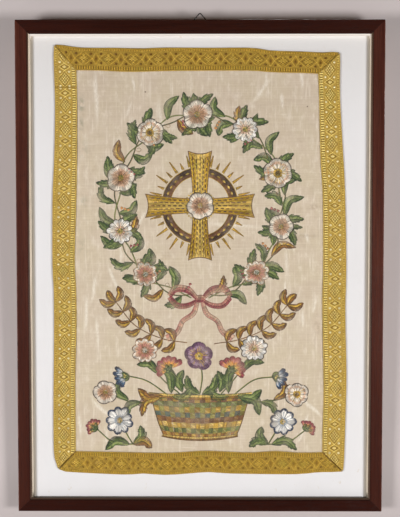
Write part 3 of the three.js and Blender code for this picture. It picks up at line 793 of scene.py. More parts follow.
def galloon_threads(rows, axis, repeat, phase, colours):
    """Threads that float along one length of braid and draw its figure."""
    chart = galloon_chart()
    first, last = rows[0][:, axis].min(), rows[0][:, axis].max()
    woven = np.random.default_rng(int(abs(first) + abs(last)))
    drawn_in = repeat / BRAID_REPEAT
    threads = np.array([
        (phase + number * repeat + s * drawn_in, v, length * drawn_in, width,
         THREAD_LAYERS.get(tone, 0.0), *colours[tone])
        for number in range(math.floor((first - phase) / repeat) - 1,
                            math.ceil((last - phase) / repeat) + 1)
        for s, v, length, width, tone in chart])
    share = threads[:, 1] / BRAID_WIDTH
    start, stop = ([rows[0][i, axis] + (rows[2][i, axis] - rows[0][i, axis]) * share]
                   for i in (0, -1))
    half_run = threads[:, 2] / 2
    near = np.maximum(threads[:, 0] - half_run, start[0] + 0.6)
    far = np.minimum(threads[:, 0] + half_run, stop[0] - 0.6)
    kept = far - near > 0.8
    threads, near, far, share = threads[kept], near[kept], far[kept], share[kept]
    slant = woven.uniform(-0.12, 0.12, len(threads))
    lines = []
    for at, drift in ((near, -slant), (far, slant)):
        outer, inner = across_braid(rows, axis, at)
        place = outer + (inner - outer) * (share + drift / BRAID_WIDTH)
        lines += [at, place] if axis == 0 else [place, at]
    shade = woven.uniform(*THREAD_SHADES, (len(threads), 1))
    heights = woven.uniform(*THREAD_HEIGHTS, len(threads))
    return np.column_stack([*lines, threads[:, 3], heights, threads[:, 4],
                            threads[:, 5:8] * shade])


def galloon_material(lie):
    """The ground of the braid: fine ribs across it and cords along it."""
    colours = BRAID_COLOURS[lie]
    material, surface = new_material("galloon_" + lie, Roughness=0.6, Specular_IOR_Level=0.3)
    on_braid = add(surface[0].id_data, "UVMap", uv_map="galloon").outputs["UV"]
    cells = times(ribs(on_braid, 0.30, "X", 0.5), ribs(on_braid, 0.34, "Y", 0.5))
    worn = noise(on_braid, (0.06, 0.12, 1.0), 4.0, 0.6)
    plug(surface["Base Color"], coated(
        colours["dark"], (ramp(cells, 0.05, 0.5), colours["ground"]),
        (ramp(worn, 0.45, 0.75, 0.0, 0.45), colours["pale"]),
        (ramp(worn, 0.42, 0.25, 0.0, 0.4), colours["dark"])))
    bumped(surface, cells, 0.0003, 0.6)
    return material


def thread_colour(surface):
    return add(surface[0].id_data, "Attribute", attribute_name="thread").outputs["Color"]


# Metal thread: colour along each thread, a twist of fine strands, and a soft gleam.
TARNISH = (0.30, 0.17, 0.035)
GREENING = (0.42, 0.37, 0.055)
metal_thread, surface = new_material("metal_thread", Metallic=0.35, Roughness=0.38)
place = object_coordinates(surface)
plug(surface["Base Color"], coated(
    thread_colour(surface), (ramp(noise(place, 60.0, 4.0, 0.6), 0.45, 0.75, 0.0, 0.4), TARNISH),
    (ramp(noise(place, 31.0, 3.0, 0.6), 0.5, 0.72, 0.0, 0.3), GREENING)))
bumped(surface, noise(place, 2600.0), 0.0001, 0.4)

SEAM_STITCH = 2.6
SEAM_PITCH = 1.15
SEAM_THREAD = (1.25, 0.5, 0.8)  # width, height and layer
SEAM_COLOURS = {"high": (0.52, 0.33, 0.055), "low": (0.27, 0.150, 0.024)}
SEAM_SHADE_CHANGES = 300.0  # the height on the picture above which seams are paler
EDGE_PITCH = 4.6
EDGE_THREAD = (0.95, 0.45, 0.6)
EDGE_COLOUR = np.array([0.74, 0.62, 0.40])

braid_pieces, seams, inner_edges = [], [], []
galloon_grounds = {lie: galloon_material(lie) for lie in BRAID_COLOURS}
for node_name, (axis, lie, repeat, phase, clear) in BRAIDS.items():
    rows = braid_rows(node_name, axis)
    ribbon = cloth_copy(node_name, BRAID_CUTS)
    uv = ribbon.loops.layers.uv.new("galloon")
    for face in ribbon.faces:
        for loop in face.loops:
            at = (loop.vert.co.x * 1000, loop.vert.co.z * 1000 - FRAME_CENTRE_Z)
            outer, inner = across_braid(rows, axis, at[axis])
            loop[uv].uv = (at[axis], (at[1 - axis] - outer) / (inner - outer) * BRAID_WIDTH)
    label = node_name.replace("braid_", "")
    piece = finished("galloon_" + label, ribbon, galloon_grounds[lie])
    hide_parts(node_name)
    ground = np.array(BRAID_COLOURS[lie]["ground"])
    colours = {tone: ground + clear * (np.array(colour) - ground)
               for tone, colour in BRAID_COLOURS[lie].items()}
    figure = sewn("galloon_figure_" + label,
                  galloon_threads(rows, axis, repeat, phase, colours), surface_of(piece),
                  metal_thread)
    length = rows[1][:, axis].max() - rows[1][:, axis].min()
    braid_pieces += [piece, figure]
    for end in ((0, -1) if axis == 0 else (0,) if label == "left_upper" else ()):
        seams.append((rows[0][end], rows[2][end]))
    inner_edges.append(rows[2])


def left_of(way):
    """A quarter turn to the left of a direction."""
    return np.array([-way[1], way[0]])


def distances(line):
    """How far along a line each of its points is."""
    return np.concatenate([[0], np.cumsum(np.hypot(*np.diff(line, axis=0).T))])


def along_line(at, gone, line):
    """The place at a distance along a line, or an array of them."""
    return np.array([np.interp(at, gone, line[:, k]) for k in (0, 1)]).T


# The lengths are whipped together along the mitres and the join, and slip-stitched to the
# silk along their inner edges with a paler thread.
sewing = []
tack = np.random.default_rng(11)
for outer, inner in seams:
    run = inner - outer
    way = run / np.hypot(*run)
    cross = left_of(way) * SEAM_STITCH / 2
    colour = np.array(SEAM_COLOURS["high" if outer[1] > SEAM_SHADE_CHANGES else "low"])
    for along in np.arange(0.8, np.hypot(*run) - 0.5, SEAM_PITCH):
        spot = outer + way * (along + tack.uniform(-0.15, 0.15))
        lean = way * tack.uniform(0.1, 0.6)
        sewing.append((*(spot - cross - lean), *(spot + cross + lean), *SEAM_THREAD,
                       *(colour * tack.uniform(0.75, 1.25))))
for row in inner_edges:
    gone = distances(row)
    for along in np.arange(2.0, gone[-1] - 2.0, EDGE_PITCH):
        along += tack.uniform(-0.8, 0.8)
        spot, ahead = along_line(along, gone, row), along_line(along + 1.0, gone, row)
        inward = -np.sign(spot) * (np.abs(ahead - spot)[::-1] > 0.5)
        lean = (ahead - spot) * tack.uniform(0.2, 0.9)
        sewing.append((*(spot - inward * 0.9), *(spot + inward * tack.uniform(1.1, 1.9) + lean),
                       *EDGE_THREAD, *(EDGE_COLOUR * tack.uniform(0.8, 1.1))))
braid_pieces.append(sewn("galloon_sewing", sewing, surface_of(silk_piece, *braid_pieces[::2]),
                         metal_thread))

# Needlework: a wreath of flowers round a gold cross, and a basket of flowers below it,
# worked by hand in silk floss and laid gold thread. Places are in millimetres from the
# middle of the frame, and every stitch is a raised thread of its own shade.
FLOSS = {
    "gold": (0.62, 0.39, 0.055), "pale gold": (0.80, 0.57, 0.15),
    "brown gold": (0.305, 0.141, 0.021), "brown": (0.080, 0.032, 0.010),
    "mid brown": (0.20, 0.085, 0.030), "outline": (0.085, 0.048, 0.032),
    "cream": (0.82, 0.73, 0.61), "white": (0.84, 0.80, 0.74),
    "pale blue": (0.40, 0.43, 0.45), "pink beige": (0.63, 0.40, 0.265),
    "pink brown": (0.37, 0.185, 0.085), "rose": (0.53, 0.225, 0.165),
    "red": (0.36, 0.075, 0.080), "orange": (0.66, 0.29, 0.065),
    "yellow green": (0.33, 0.32, 0.055), "light green": (0.275, 0.325, 0.10),
    "green": (0.112, 0.165, 0.040), "dark green": (0.036, 0.064, 0.019),
    "blue green": (0.075, 0.150, 0.120), "blue": (0.095, 0.165, 0.260),
    "dark blue": (0.035, 0.055, 0.105), "mauve": (0.43, 0.28, 0.36),
    "purple": (0.185, 0.080, 0.150),
}
FLOSS_PITCH = 0.92
LEAF_TONES = (("light green", "green"), ("green", "dark green"))
BROWN_TONES = (("gold", "brown gold"), ("brown gold", "mid brown"))
# Flowers: petals, depth of the notches, outline, heart, then bands of colour from
# the middle outwards as (colour, where it begins, where it ends).
BLOOMS = {
    "briar": (5, 0.17, "outline", "gold", [("pink brown", 0.20, 0.54),
              ("pink beige", 0.46, 0.74), ("cream", 0.64, 1.0)]),
    "eglantine": (6, 0.15, "outline", "brown gold", [("gold", 0.18, 0.36),
                  ("cream", 0.32, 0.68), ("pink beige", 0.62, 0.86), ("cream", 0.80, 1.0)]),
    "daisy": (11, 0.24, "outline", "pale gold", [("pink beige", 0.22, 0.45),
              ("cream", 0.42, 0.76), ("white", 0.70, 1.0)]),
    "blue daisy": (9, 0.28, "dark blue", "pale gold", [("pale blue", 0.22, 0.46),
                   ("white", 0.34, 0.94), ("dark blue", 0.91, 1.0)]),
    "pansy": (5, 0.20, "purple", "pale gold", [("gold", 0.16, 0.34),
              ("purple", 0.30, 0.58), ("mauve", 0.54, 0.82), ("purple", 0.80, 1.0)]),
    "poppy": (7, 0.20, "red", "dark green", [("pale gold", 0.20, 0.44),
              ("orange", 0.40, 0.66), ("rose", 0.60, 0.84), ("red", 0.80, 1.0)]),
    "bell": (5, 0.30, "dark blue", "pale gold", [("white", 0.30, 0.46),
             ("pale blue", 0.42, 0.66), ("blue", 0.60, 0.86), ("dark blue", 0.84, 1.0)]),
    "pink": (9, 0.26, "pink brown", "cream", [("pink brown", 0.2, 0.42),
             ("rose", 0.36, 0.64), ("pink beige", 0.58, 0.84), ("cream", 0.80, 1.0)]),
}
STRAND_CHANGE = 0.32  # the chance that a stitch starts a new strand
# Painted sheen: how much lighter or darker a strand is made, at random, as the floss catches the light.
STRAND_LUSTRE = (0.50, 1.30)
STITCH_SHADES = (0.92, 1.08)
LEAF_SLANT = 0.75
LEAF_SPLIT = (0.45, 0.68)  # where the inner tone meets the outer one
# Painted sheen of a leaf, in groups of stitches.
LEAF_LUSTRE = (0.55, 1.3)
PETAL_SIZES = (0.90, 1.06)
PETAL_LINES = ((0.26, 0.50), (0.46, 0.72), (0.68, 0.92))  # between the petals
HEART_REACH = 0.2
CURVE_STEPS = 20
strand = {"lustre": 1.0}
needle = np.random.default_rng(23)


def stitch(work, start, end, colour, width=1.0, layer=0.0, height=0.5, lustre=None):
    """One stitch. A few stitches in a row share a strand, and so a lustre: a painted sheen."""
    if lustre is None:
        if needle.uniform() < STRAND_CHANGE:
            strand["lustre"] = needle.uniform(*STRAND_LUSTRE)
        lustre = strand["lustre"]
    shade = lustre * needle.uniform(*STITCH_SHADES)
    work.append((*start, *end, width, height, layer, *(c * shade for c in FLOSS[colour])))


def ray_at(angle):
    return np.array([math.cos(angle), math.sin(angle)])


def smooth_line(points, pitch):
    """Even steps along a smooth line through points: places and headings."""
    points = np.array(points, float)
    whole = np.vstack([2 * points[0] - points[1], points, 2 * points[-1] - points[-2]])
    share = np.linspace(0, 1, CURVE_STEPS, endpoint=False)[:, None]
    fine = np.vstack([0.5 * (2 * b + (c - a) * share + (2 * a - 5 * b + 4 * c - d) * share ** 2
                             + (3 * b - a - 3 * c + d) * share ** 3)
                      for a, b, c, d in zip(whole, whole[1:], whole[2:], whole[3:])]
                     + [points[-1:]])
    gone = distances(fine)
    steps = np.linspace(0, gone[-1], max(3, round(gone[-1] / pitch) + 1))
    places = along_line(steps, gone, fine)
    headings = np.gradient(places, axis=0)
    return places, headings / np.hypot(*headings.T)[:, None]


def stem(work, points, colours, width=1.0, layer=0.0, pitch=3.4):
    """Rows of stem stitch side by side, one for each colour."""
    places, headings = smooth_line(points, pitch)
    for row, colour in enumerate(colours):
        off = (row - (len(colours) - 1) / 2) * width * 0.82
        for spot, way, after in zip(places, headings, places[1:]):
            out = left_of(way)
            stitch(work, spot + out * (off - 0.14) - 0.18 * pitch * way,
                   after + out * (off + 0.14) + 0.18 * pitch * way, colour, width, layer)


def leaf(work, base, tip, half_width, bend=0.15, tones=LEAF_TONES, layer=0.0, teeth=0):
    """A leaf in slanting satin stitch: a light half, a dark half and a vein."""
    base, tip = np.array(base, float), np.array(tip, float)
    run = tip - base
    middle = (base + tip) / 2 + left_of(run) * bend
    places, headings = smooth_line([base, middle, tip], FLOSS_PITCH)
    # Painted sheen: groups of three stitches on each half share a lighter or darker colour.
    glow = np.repeat(needle.uniform(*LEAF_LUSTRE, (len(places) // 3 + 1, 2)), 3, axis=0)
    rims = ([], [])
    for number, (spot, way) in enumerate(zip(places, headings)):
        share = number / (len(places) - 1)
        reach = half_width * math.sin(math.pi * share ** 0.72) ** 0.75
        if teeth:
            reach *= 0.72 + 0.42 * (share * teeth % 1)
        out = left_of(way)
        for half, (hand, (inner, outer)) in enumerate(zip((1, -1), tones)):
            side = (hand * out + LEAF_SLANT * way) * max(reach, 0.5)
            turning = needle.uniform(*LEAF_SPLIT)
            sheen = {"layer": layer, "lustre": glow[number, half]}
            if reach > 2.6:
                stitch(work, spot, spot + side * (turning + 0.08), inner, **sheen)
                stitch(work, spot + side * turning, spot + side, outer, **sheen)
            else:
                stitch(work, spot, spot + side, outer, **sheen)
            rims[half].append(spot + side)
    vein = "brown" if tones is BROWN_TONES else "dark green"
    for rim in rims:
        for first, second in zip(rim[::2], rim[2::2]):
            if needle.uniform() < 0.85:
                stitch(work, first, second + 0.3 * (second - first), vein,
                       needle.uniform(0.7, 1.2), layer + 1.0)
    stem(work, [base, middle, base + run * 0.86 + (middle - (base + tip) / 2) * 0.4],
         [vein], 1.0, layer + 1.4)


def bloom(work, x, z, radius, kind, turn=0.0, spread=360.0, layer=2.0):
    """A flower in bands of long and short stitch, outlined, with a knotted heart.
    A spread of less than a full turn gives a flower seen from the side."""
    petals, notch, outline, heart, bands = BLOOMS[kind]
    centre = np.array([x, z], float)
    begin, sweep = math.radians(turn - spread / 2), math.radians(spread)
    sizes = needle.uniform(*PETAL_SIZES, petals)

    def edge(angle, share=1.0):
        petal = petals * (angle - begin) / sweep
        lobe = abs(math.sin(petal * math.pi))
        reach = radius * (1 - notch * (1 - lobe ** 0.55) * min(1.0, share * 1.4)) * share
        reach *= sizes[math.floor(petal) % petals]
        return centre + reach * ray_at(angle)

    for number, (colour, inner, outer) in enumerate(bands):
        rays = max(8, round(sweep * radius * outer / FLOSS_PITCH))
        for ray in range(rays):
            angle = begin + sweep * (ray + needle.uniform(-0.3, 0.3) + 0.5) / rays
            last = number == len(bands) - 1
            stitch(work, edge(angle, inner * needle.uniform(0.86, 1.0)),
                   edge(angle, outer if last else outer * needle.uniform(0.92, 1.06)),
                   colour, layer=layer)
    for petal in range(petals + (spread < 360)):
        angle = begin + sweep * petal / petals
        for inner, outer in PETAL_LINES:
            stitch(work, edge(angle, inner), edge(angle, outer), outline,
                   needle.uniform(0.8, 1.4), layer + 1)
    for _ in range(round(radius * sweep / 2.4)):
        angle = begin + sweep * needle.uniform()
        inner = needle.uniform(0.20, 0.52)
        stitch(work, edge(angle, inner), edge(angle, inner + needle.uniform(0.22, 0.40)),
               bands[needle.integers(0, 2)][0], needle.uniform(1.0, 1.7), layer + 0.6)
    round_edge = max(12, round(sweep * radius / 2.6))
    for step in range(round_edge):
        angle = begin + sweep * step / round_edge
        if needle.uniform() < 0.92:
            stitch(work, edge(angle, 1.01), edge(angle + 1.12 * sweep / round_edge, 1.01),
                   outline, needle.uniform(1.1, 1.9), layer + 1)
    for _ in range(max(5, round((0.24 * radius) ** 2))):
        away = HEART_REACH * radius * math.sqrt(needle.uniform())
        angle = begin + sweep * needle.uniform()
        knot(work, centre + away * ray_at(angle), heart, 1.5, layer + 1.2)


def knot(work, spot, colour, size=1.8, layer=1.5):
    turn = needle.uniform(0, math.pi)
    half = size / 2 * ray_at(turn)
    stitch(work, spot - half, spot + half, colour, size * 0.85, layer, 0.7)


def strip(work, points, widths, colours, outline=None, layer=0.0):
    """Satin stitch across a curved strip, in one or more colours side by side."""
    places, headings = smooth_line(points, FLOSS_PITCH)
    halves = np.interp(np.linspace(0, 1, len(places)), np.linspace(0, 1, len(widths)),
                       widths) / 2
    count = len(colours)
    for spot, way, half in zip(places, headings, halves):
        out = left_of(way) * half + way * half * 0.25
        cuts = np.linspace(-1, 1, count + 1)
        cuts[1:-1] += needle.uniform(-0.3, 0.3, count - 1) / count
        for colour, low, high in zip(colours, cuts, cuts[1:]):
            stitch(work, spot + out * (low - 0.03), spot + out * (high + 0.03), colour,
                   layer=layer)
    if outline:
        for hand in (-1, 1):
            sides = [spot + hand * half * left_of(way)
                     for spot, way, half in zip(places, headings, halves)]
            stem(work, sides[::4] + [sides[-1]], [outline], 0.7, layer + 1)


def curl(work, spot, turn, hand, size, colour):
    """A tendril that winds in on itself."""
    start = math.radians(turn)
    winding = [spot + size * (1 - 0.16 * n) * (ray_at(start + hand * 0.75 * n) - ray_at(start))
               for n in range(6)]
    stem(work, winding, [colour], 0.8, 0.6, 2.2)


# The wreath: two stems that cross over and over, with leaves, tendrils, berries and
# nine flowers at uneven places.
WREATH_CENTRE = np.array([0.0, 112.0])
WREATH_HALF = np.array([150.0, 164.0])
STEM_SWAY = 5.5
STEM_CROSSINGS = 9
WREATH_LEAF_TURN = 6.6  # degrees from one leaf to the next
BERRIES = {"steps": (9, 15, 21), "size": 3.4, "stitches": (0.0, 2.1, 4.2)}
BLOOM_LEAF_TURNS = (-40, 30, 142, 208)
BLOOM_LEAF_LENGTH = 19  # past the edge of the flower
WREATH_BLOOMS = [
    # turn from the right, radius, kind
    (92, 27, "briar"), (57, 24, "daisy"), (21, 26, "eglantine"), (-13, 24, "briar"),
    (-47, 23, "pink"), (127, 25, "eglantine"), (162, 26, "briar"), (196, 24, "daisy"),
    (229, 23, "pink"),
]


def on_wreath(turn, off=0.0):
    return WREATH_CENTRE + (WREATH_HALF + off) * ray_at(math.radians(turn))


wreath, wreath_blooms = [], []
for hand, colours in ((1, ["dark green", "green", "mid brown"]),
                      (-1, ["green", "yellow green", "dark green"])):
    stem(wreath, [on_wreath(turn, hand * STEM_SWAY
                            * math.sin(math.radians(turn) * STEM_CROSSINGS))
                  for turn in range(-84, 265, 6)], colours)
for number, turn in enumerate(np.arange(-79, 262, WREATH_LEAF_TURN)):
    side = 1 if number % 2 else -1
    forward = needle.uniform(7, 11) * (1 if turn < 90 else -1)
    length = needle.uniform(28, 38)
    leaf(wreath, on_wreath(turn, side * 3), on_wreath(turn + forward, side * length),
         needle.uniform(6.4, 8.4), side * needle.uniform(0.14, 0.30),
         LEAF_TONES if number % 7 else BROWN_TONES, teeth=(number % 3 == 0) * 5)
    if number % 4 == 1:
        curl(wreath, on_wreath(turn + 3, -side * 4), turn + 90, side, 9.5, "brown gold")
    elif number % 4 == 3:
        for step in BERRIES["steps"]:
            spot = on_wreath(turn + 2 + step * 0.12, -side * step)
            for lean in BERRIES["stitches"]:
                knot(wreath, spot + 1.1 * ray_at(lean),
                     "red" if number % 8 == 3 else "orange", BERRIES["size"])
            knot(wreath, spot, "rose", 2.4, 2.6)
for turn, radius, kind in WREATH_BLOOMS:
    for lean in BLOOM_LEAF_TURNS:
        way = ray_at(math.radians(turn + lean))
        far = on_wreath(turn) + (radius + BLOOM_LEAF_LENGTH) * way
        leaf(wreath, on_wreath(turn), far, 8.0, 0.14, layer=0.8, teeth=4)
    bloom(wreath_blooms, *on_wreath(turn), radius, kind, turn + needle.uniform(-20, 20))

# The cross: four flared arms of laid gold with brown dashes and couched edges. A dark
# ring with gold lozenges joins them, with gold rays between and a rosette in the middle.
CROSS_CENTRE = np.array([0.0, 112.0])
ARM_LENGTH = 98.0
ARM_HALF = 12.5  # half width of an arm near the middle
ARM_FLARE = 8.5  # how much wider each side is at the end
ARM_STARTS = 6.0
ARM_ROUNDING = 5.0  # how far the middle of an arm's end stands in
GOLD_PITCH = 1.05
GOLD_LENGTH = 8.5
ARM_LINES = (-0.72, -0.36, 0.0, 0.36, 0.72)  # rows of dashes, as shares of the half width
RING = (54.0, 69.0)
RING_CLEARS = (15.6, 17.2)  # half of an arm's width where each edge of the ring meets it
RING_STARTS = 17.4
RING_STEP = 0.78
RING_LOZENGES = (21.5, 33.2, 45, 56.8, 68.5)
RAY_TURNS = (-30, -20, -10, 0, 10, 20, 30)
RAY_LENGTHS = (25, 13)
ROSETTE_KNOTS = 34
ROSETTE_RADIUS = 27.2

gold_work, cross_work = [], []


def arm_half(along):
    return ARM_HALF + ARM_FLARE * (along / ARM_LENGTH) ** 2


def arm_reach(share):
    return ARM_LENGTH - ARM_ROUNDING * (1 - share ** 2)


for quarter in range(4):
    turn = math.radians(90 * quarter)
    way = ray_at(turn)
    out = left_of(way)

    def on_arm(along, share):
        return CROSS_CENTRE + way * along + out * share * arm_half(along)

    rows = round(2 * (ARM_HALF + ARM_FLARE) / GOLD_PITCH)
    for row in range(rows + 1):
        share = row / rows * 2 - 1
        reach = arm_reach(share)
        cut = ARM_STARTS + needle.uniform(0, 7)
        steps = [ARM_STARTS, *np.arange(ARM_STARTS + cut, reach - 2, GOLD_LENGTH), reach]
        for near, far in zip(steps, steps[1:]):
            stitch(gold_work, on_arm(near, share), on_arm(far, share) + way * 0.6,
                   "pale gold" if abs(share) < 0.45 else "gold", 1.2)
    for line, share in enumerate(ARM_LINES):
        for along in np.arange(25 + 5.0 * (line % 2), ARM_LENGTH - 8, 10.0):
            spot = on_arm(along, share)
            half = needle.uniform(2.6, 3.8)
            for off in (-0.5, 0.5):
                stitch(cross_work, spot - way * half + out * off, spot + way * half + out * off,
                       "brown" if along < 50 else "mid brown", 1.3, 1.5)
    for hand in (-1, 1):
        border = [on_arm(along, hand) for along in (8, 30, 54, 76, ARM_LENGTH)]
        stem(cross_work, border, ["brown gold", "brown"], 0.9, 1.5)
    cap = [on_arm(ARM_LENGTH, share) + way * (arm_reach(share) - ARM_LENGTH)
           for share in (-1, -0.5, 0, 0.5, 1)]
    stem(cross_work, cap, ["brown", "brown gold"], 0.9, 1.5)
    for degrees in np.arange(0, 90, RING_STEP):
        ray = ray_at(turn + math.radians(degrees))
        if min(degrees, 90 - degrees) < math.degrees(math.asin(RING_STARTS / RING[1])):
            continue
        middle = sum(RING) / 2 + needle.uniform(-1, 1)
        stitch(cross_work, CROSS_CENTRE + ray * RING[0], CROSS_CENTRE + ray * middle,
               "mid brown", 1.05, 0.4)
        stitch(cross_work, CROSS_CENTRE + ray * (middle - 0.4), CROSS_CENTRE + ray * RING[1],
               "brown", 1.05, 0.4)
    for degrees in RING_LOZENGES:
        ray = ray_at(turn + math.radians(degrees))
        along = left_of(ray)
        spot = CROSS_CENTRE + ray * sum(RING) / 2
        for off, half in ((-1.0, 2.2), (0, 4.0), (1.0, 2.2)):
            stitch(gold_work, spot + ray * off - along * half, spot + ray * off + along * half,
                   "pale gold", 1.3, 1.8)
    for number, lean in enumerate(RAY_TURNS):
        ray = ray_at(turn + math.radians(45 + lean))
        reach = RAY_LENGTHS[number % 2] * (1 - 0.006 * abs(lean))
        strip(gold_work, [CROSS_CENTRE + ray * (RING[1] + 3 + reach * k) for k in (0, 0.5, 1)],
              [4.4, 3.0, 1.0], ["gold"], "brown gold", 0.2)
    for radius, clear in zip(RING, RING_CLEARS):
        first = math.asin(clear / radius)
        arc = [CROSS_CENTRE + radius * ray_at(angle)
               for angle in turn + np.linspace(first, math.pi / 2 - first, 7)]
        stem(gold_work, arc, ["gold"], 1.2, 1.2)
bloom(cross_work, *CROSS_CENTRE, 25, "briar", 45, layer=3.0)
for step in range(ROSETTE_KNOTS):
    ray = ray_at(2 * math.pi * step / ROSETTE_KNOTS)
    knot(gold_work, CROSS_CENTRE + ROSETTE_RADIUS * ray, "pale gold", 3.0, 3.2)

# The bow: ribbon loops and tails in shaded satin stitch, where the stems meet.
BOW = np.array([0.0, -56.0])
BOW_SCALE = 1.2
RIBBONS = [
    # a line on the right half, widths along it, shades and layer
    ([(3, -2), (10, -22), (26, -34), (34, -50), (50, -60)], [6, 9, 8, 9, 12],
     ["rose", "pink beige"], 0.0),
    ([(4, 0), (18, 13), (36, 15), (46, 4)], [6, 12, 13, 8], ["pink beige", "rose", "red"], 0.6),
    ([(4, -2), (18, -10), (34, -10), (46, 2)], [5, 9, 10, 8], ["red", "rose"], 0.9),
]
bow = []
for hand in (-1, 1):
    for line, widths, shades, layer in RIBBONS:
        strip(bow, BOW + BOW_SCALE * np.array(line) * (hand, 1), widths, shades, "red", layer)
strip(bow, [BOW + np.array([x, 0.0]) for x in (-6, 0, 6)], [11, 14, 11],
      ["red", "rose", "pink beige"], "red", 2.2)

# The basket: woven cane in blocks of upright and level stitches, with a roped rim and foot.
BASKET_TOP = -230.0
BASKET_FOOT = -306.0
BASKET_HALF_TOP = 90.0
BASKET_HALF_FOOT = 66.0
BASKET_COLUMNS = 18
BASKET_LINING = (76, 20)  # rows of plain stitches behind the cane, and cuts along a row
BASKET_SWELL = 0.8
BASKET_SAG = 6.0
CANE_STITCHES = 9
BASKET_TONES = [("gold", "brown gold"), ("yellow green", "green"), ("pale gold", "gold"),
                ("brown gold", "mid brown"), ("yellow green", "blue green"),
                ("gold", "yellow green"), ("light green", "green"), ("gold", "mid brown")]
BASKET_ROWS = len(BASKET_TONES)


def in_basket(share_x, share_z):
    """Across from -1 to 1 and up from 0 to 1, with a sagging foot and swelling sides."""
    half = BASKET_HALF_FOOT + (BASKET_HALF_TOP - BASKET_HALF_FOOT) * share_z ** BASKET_SWELL
    sag = BASKET_SAG * (1 - share_x ** 2)
    return np.array([share_x * half,
                     BASKET_FOOT + (BASKET_TOP - BASKET_FOOT) * share_z - sag])


basket = []
for share_z in np.linspace(0.01, 0.99, BASKET_LINING[0]):
    cuts = np.linspace(-0.99, 0.99, BASKET_LINING[1])
    for left, right in zip(cuts, cuts[1:]):
        stitch(basket, in_basket(left - 0.02, share_z), in_basket(right + 0.02, share_z),
               "mid brown", 1.2, -0.7)
for row, (level_tone, upright_tone) in enumerate(BASKET_TONES):
    for column in range(BASKET_COLUMNS):
        left = -1 + 2 * column / BASKET_COLUMNS
        right = left + 2 / BASKET_COLUMNS
        low, high = row / BASKET_ROWS, (row + 1) / BASKET_ROWS
        slip = needle.uniform(-0.12, 0.12, 2)
        wide, tall = 0.06 * (right - left), 0.07 * (high - low)
        for share in np.linspace(0.04, 0.96, CANE_STITCHES):
            if (row + column) % 2:
                up = low + (high - low) * (share + slip[0])
                stitch(basket, in_basket(left - wide, up), in_basket(right + wide, up + tall),
                       level_tone, 1.25)
            else:
                across = left + (right - left) * (share + slip[1])
                stitch(basket, in_basket(across, low - tall), in_basket(across, high + tall),
                       upright_tone, 1.25)
for share_z, width in ((1.0, 9.0), (0.0, 7.0)):
    rope = [in_basket(share_x, share_z) for share_x in np.linspace(-1.04, 1.04, 9)]
    strip(basket, rope, [width * 0.7, width, width, width, width * 0.7],
          ["brown gold", "pale gold"], "brown", 1.0)
for hand in (-1, 1):
    stem(basket, [in_basket(hand, share) for share in (0.0, 0.3, 0.6, 1.0)],
         ["brown", "brown gold"], 1.0, 1.2)

# The flowers: sprays that rise from the basket and trail beside it, and two sprigs below.
SPRAYS = [
    # base, bend and head of each stem, then radius, kind, way it faces and spread
    ((0, -228), (4, -196), (-2, -160), 27, "pansy", 90, 360),
    ((-18, -228), (-36, -206), (-56, -184), 26, "poppy", 120, 200),
    ((20, -228), (38, -208), (58, -186), 26, "poppy", 58, 200),
    ((-36, -230), (-72, -198), (-100, -150), 24, "pink", 90, 360),
    ((38, -230), (70, -192), (98, -146), 24, "daisy", 80, 360),
    ((-58, -232), (-96, -206), (-134, -196), 24, "bell", 195, 130),
    ((60, -232), (98, -204), (136, -198), 24, "bell", -15, 130),
    ((-62, -236), (-116, -246), (-172, -226), 22, "briar", 180, 360),
    ((62, -236), (118, -244), (176, -230), 22, "eglantine", 0, 360),
    ((-122, -322), (-134, -302), (-146, -278), 25, "blue daisy", 100, 360),
    ((124, -322), (136, -302), (150, -280), 25, "blue daisy", 80, 360),
    ((-122, -322), (-158, -318), (-190, -292), 17, "poppy", 140, 180),
    ((124, -322), (160, -318), (194, -294), 17, "poppy", 40, 180),
]
LEAVES = [
    # base, tip, half width and bend
    ((0, -230), (-24, -196), 8.5, 0.2), ((4, -230), (30, -194), 8.5, -0.2),
    ((-32, -226), (-30, -186), 8.0, 0.18), ((36, -226), (32, -188), 8.0, -0.18),
    ((-52, -228), (-78, -174), 9.0, -0.2), ((52, -228), (76, -172), 9.0, 0.2),
    ((-68, -232), (-112, -220), 9.0, 0.24), ((68, -232), (112, -222), 9.0, -0.24),
    ((-72, -236), (-106, -270), 9.0, -0.28), ((72, -236), (108, -268), 9.0, 0.28),
    ((-108, -244), (-134, -270), 7.5, -0.24), ((110, -244), (138, -268), 7.5, 0.24),
    ((-130, -240), (-150, -206), 7.0, 0.24), ((134, -240), (154, -206), 7.0, -0.24),
    ((-122, -322), (-88, -328), 9.0, 0.24), ((124, -322), (90, -326), 9.0, -0.24),
    ((-122, -322), (-108, -288), 8.5, -0.24), ((124, -322), (112, -290), 8.5, 0.24),
    ((-128, -322), (-172, -332), 8.5, -0.24), ((130, -322), (176, -332), 8.5, 0.24),
    ((-76, -192), (-114, -176), 7.5, -0.22), ((76, -188), (116, -172), 7.5, 0.22),
    ((-14, -218), (-50, -234), 8.0, 0.22), ((14, -218), (52, -234), 8.0, -0.22),
]
BRANCHES = [
    # a stem through these places, with gilded leaves in pairs along it
    ((-24, -136), (-70, -128), (-118, -104), (-152, -62)),
    ((26, -138), (72, -130), (122, -108), (158, -68)),
]
LEAF_SPACING = 21.0
CUP_TURNS = (-55, 0, 55)
sprays = []
for base, tip, half_width, bend in LEAVES:
    tones = BROWN_TONES if needle.uniform() < 0.15 else LEAF_TONES
    leaf(sprays, base, tip, half_width, bend, tones, 1.6, teeth=needle.integers(0, 2) * 5)
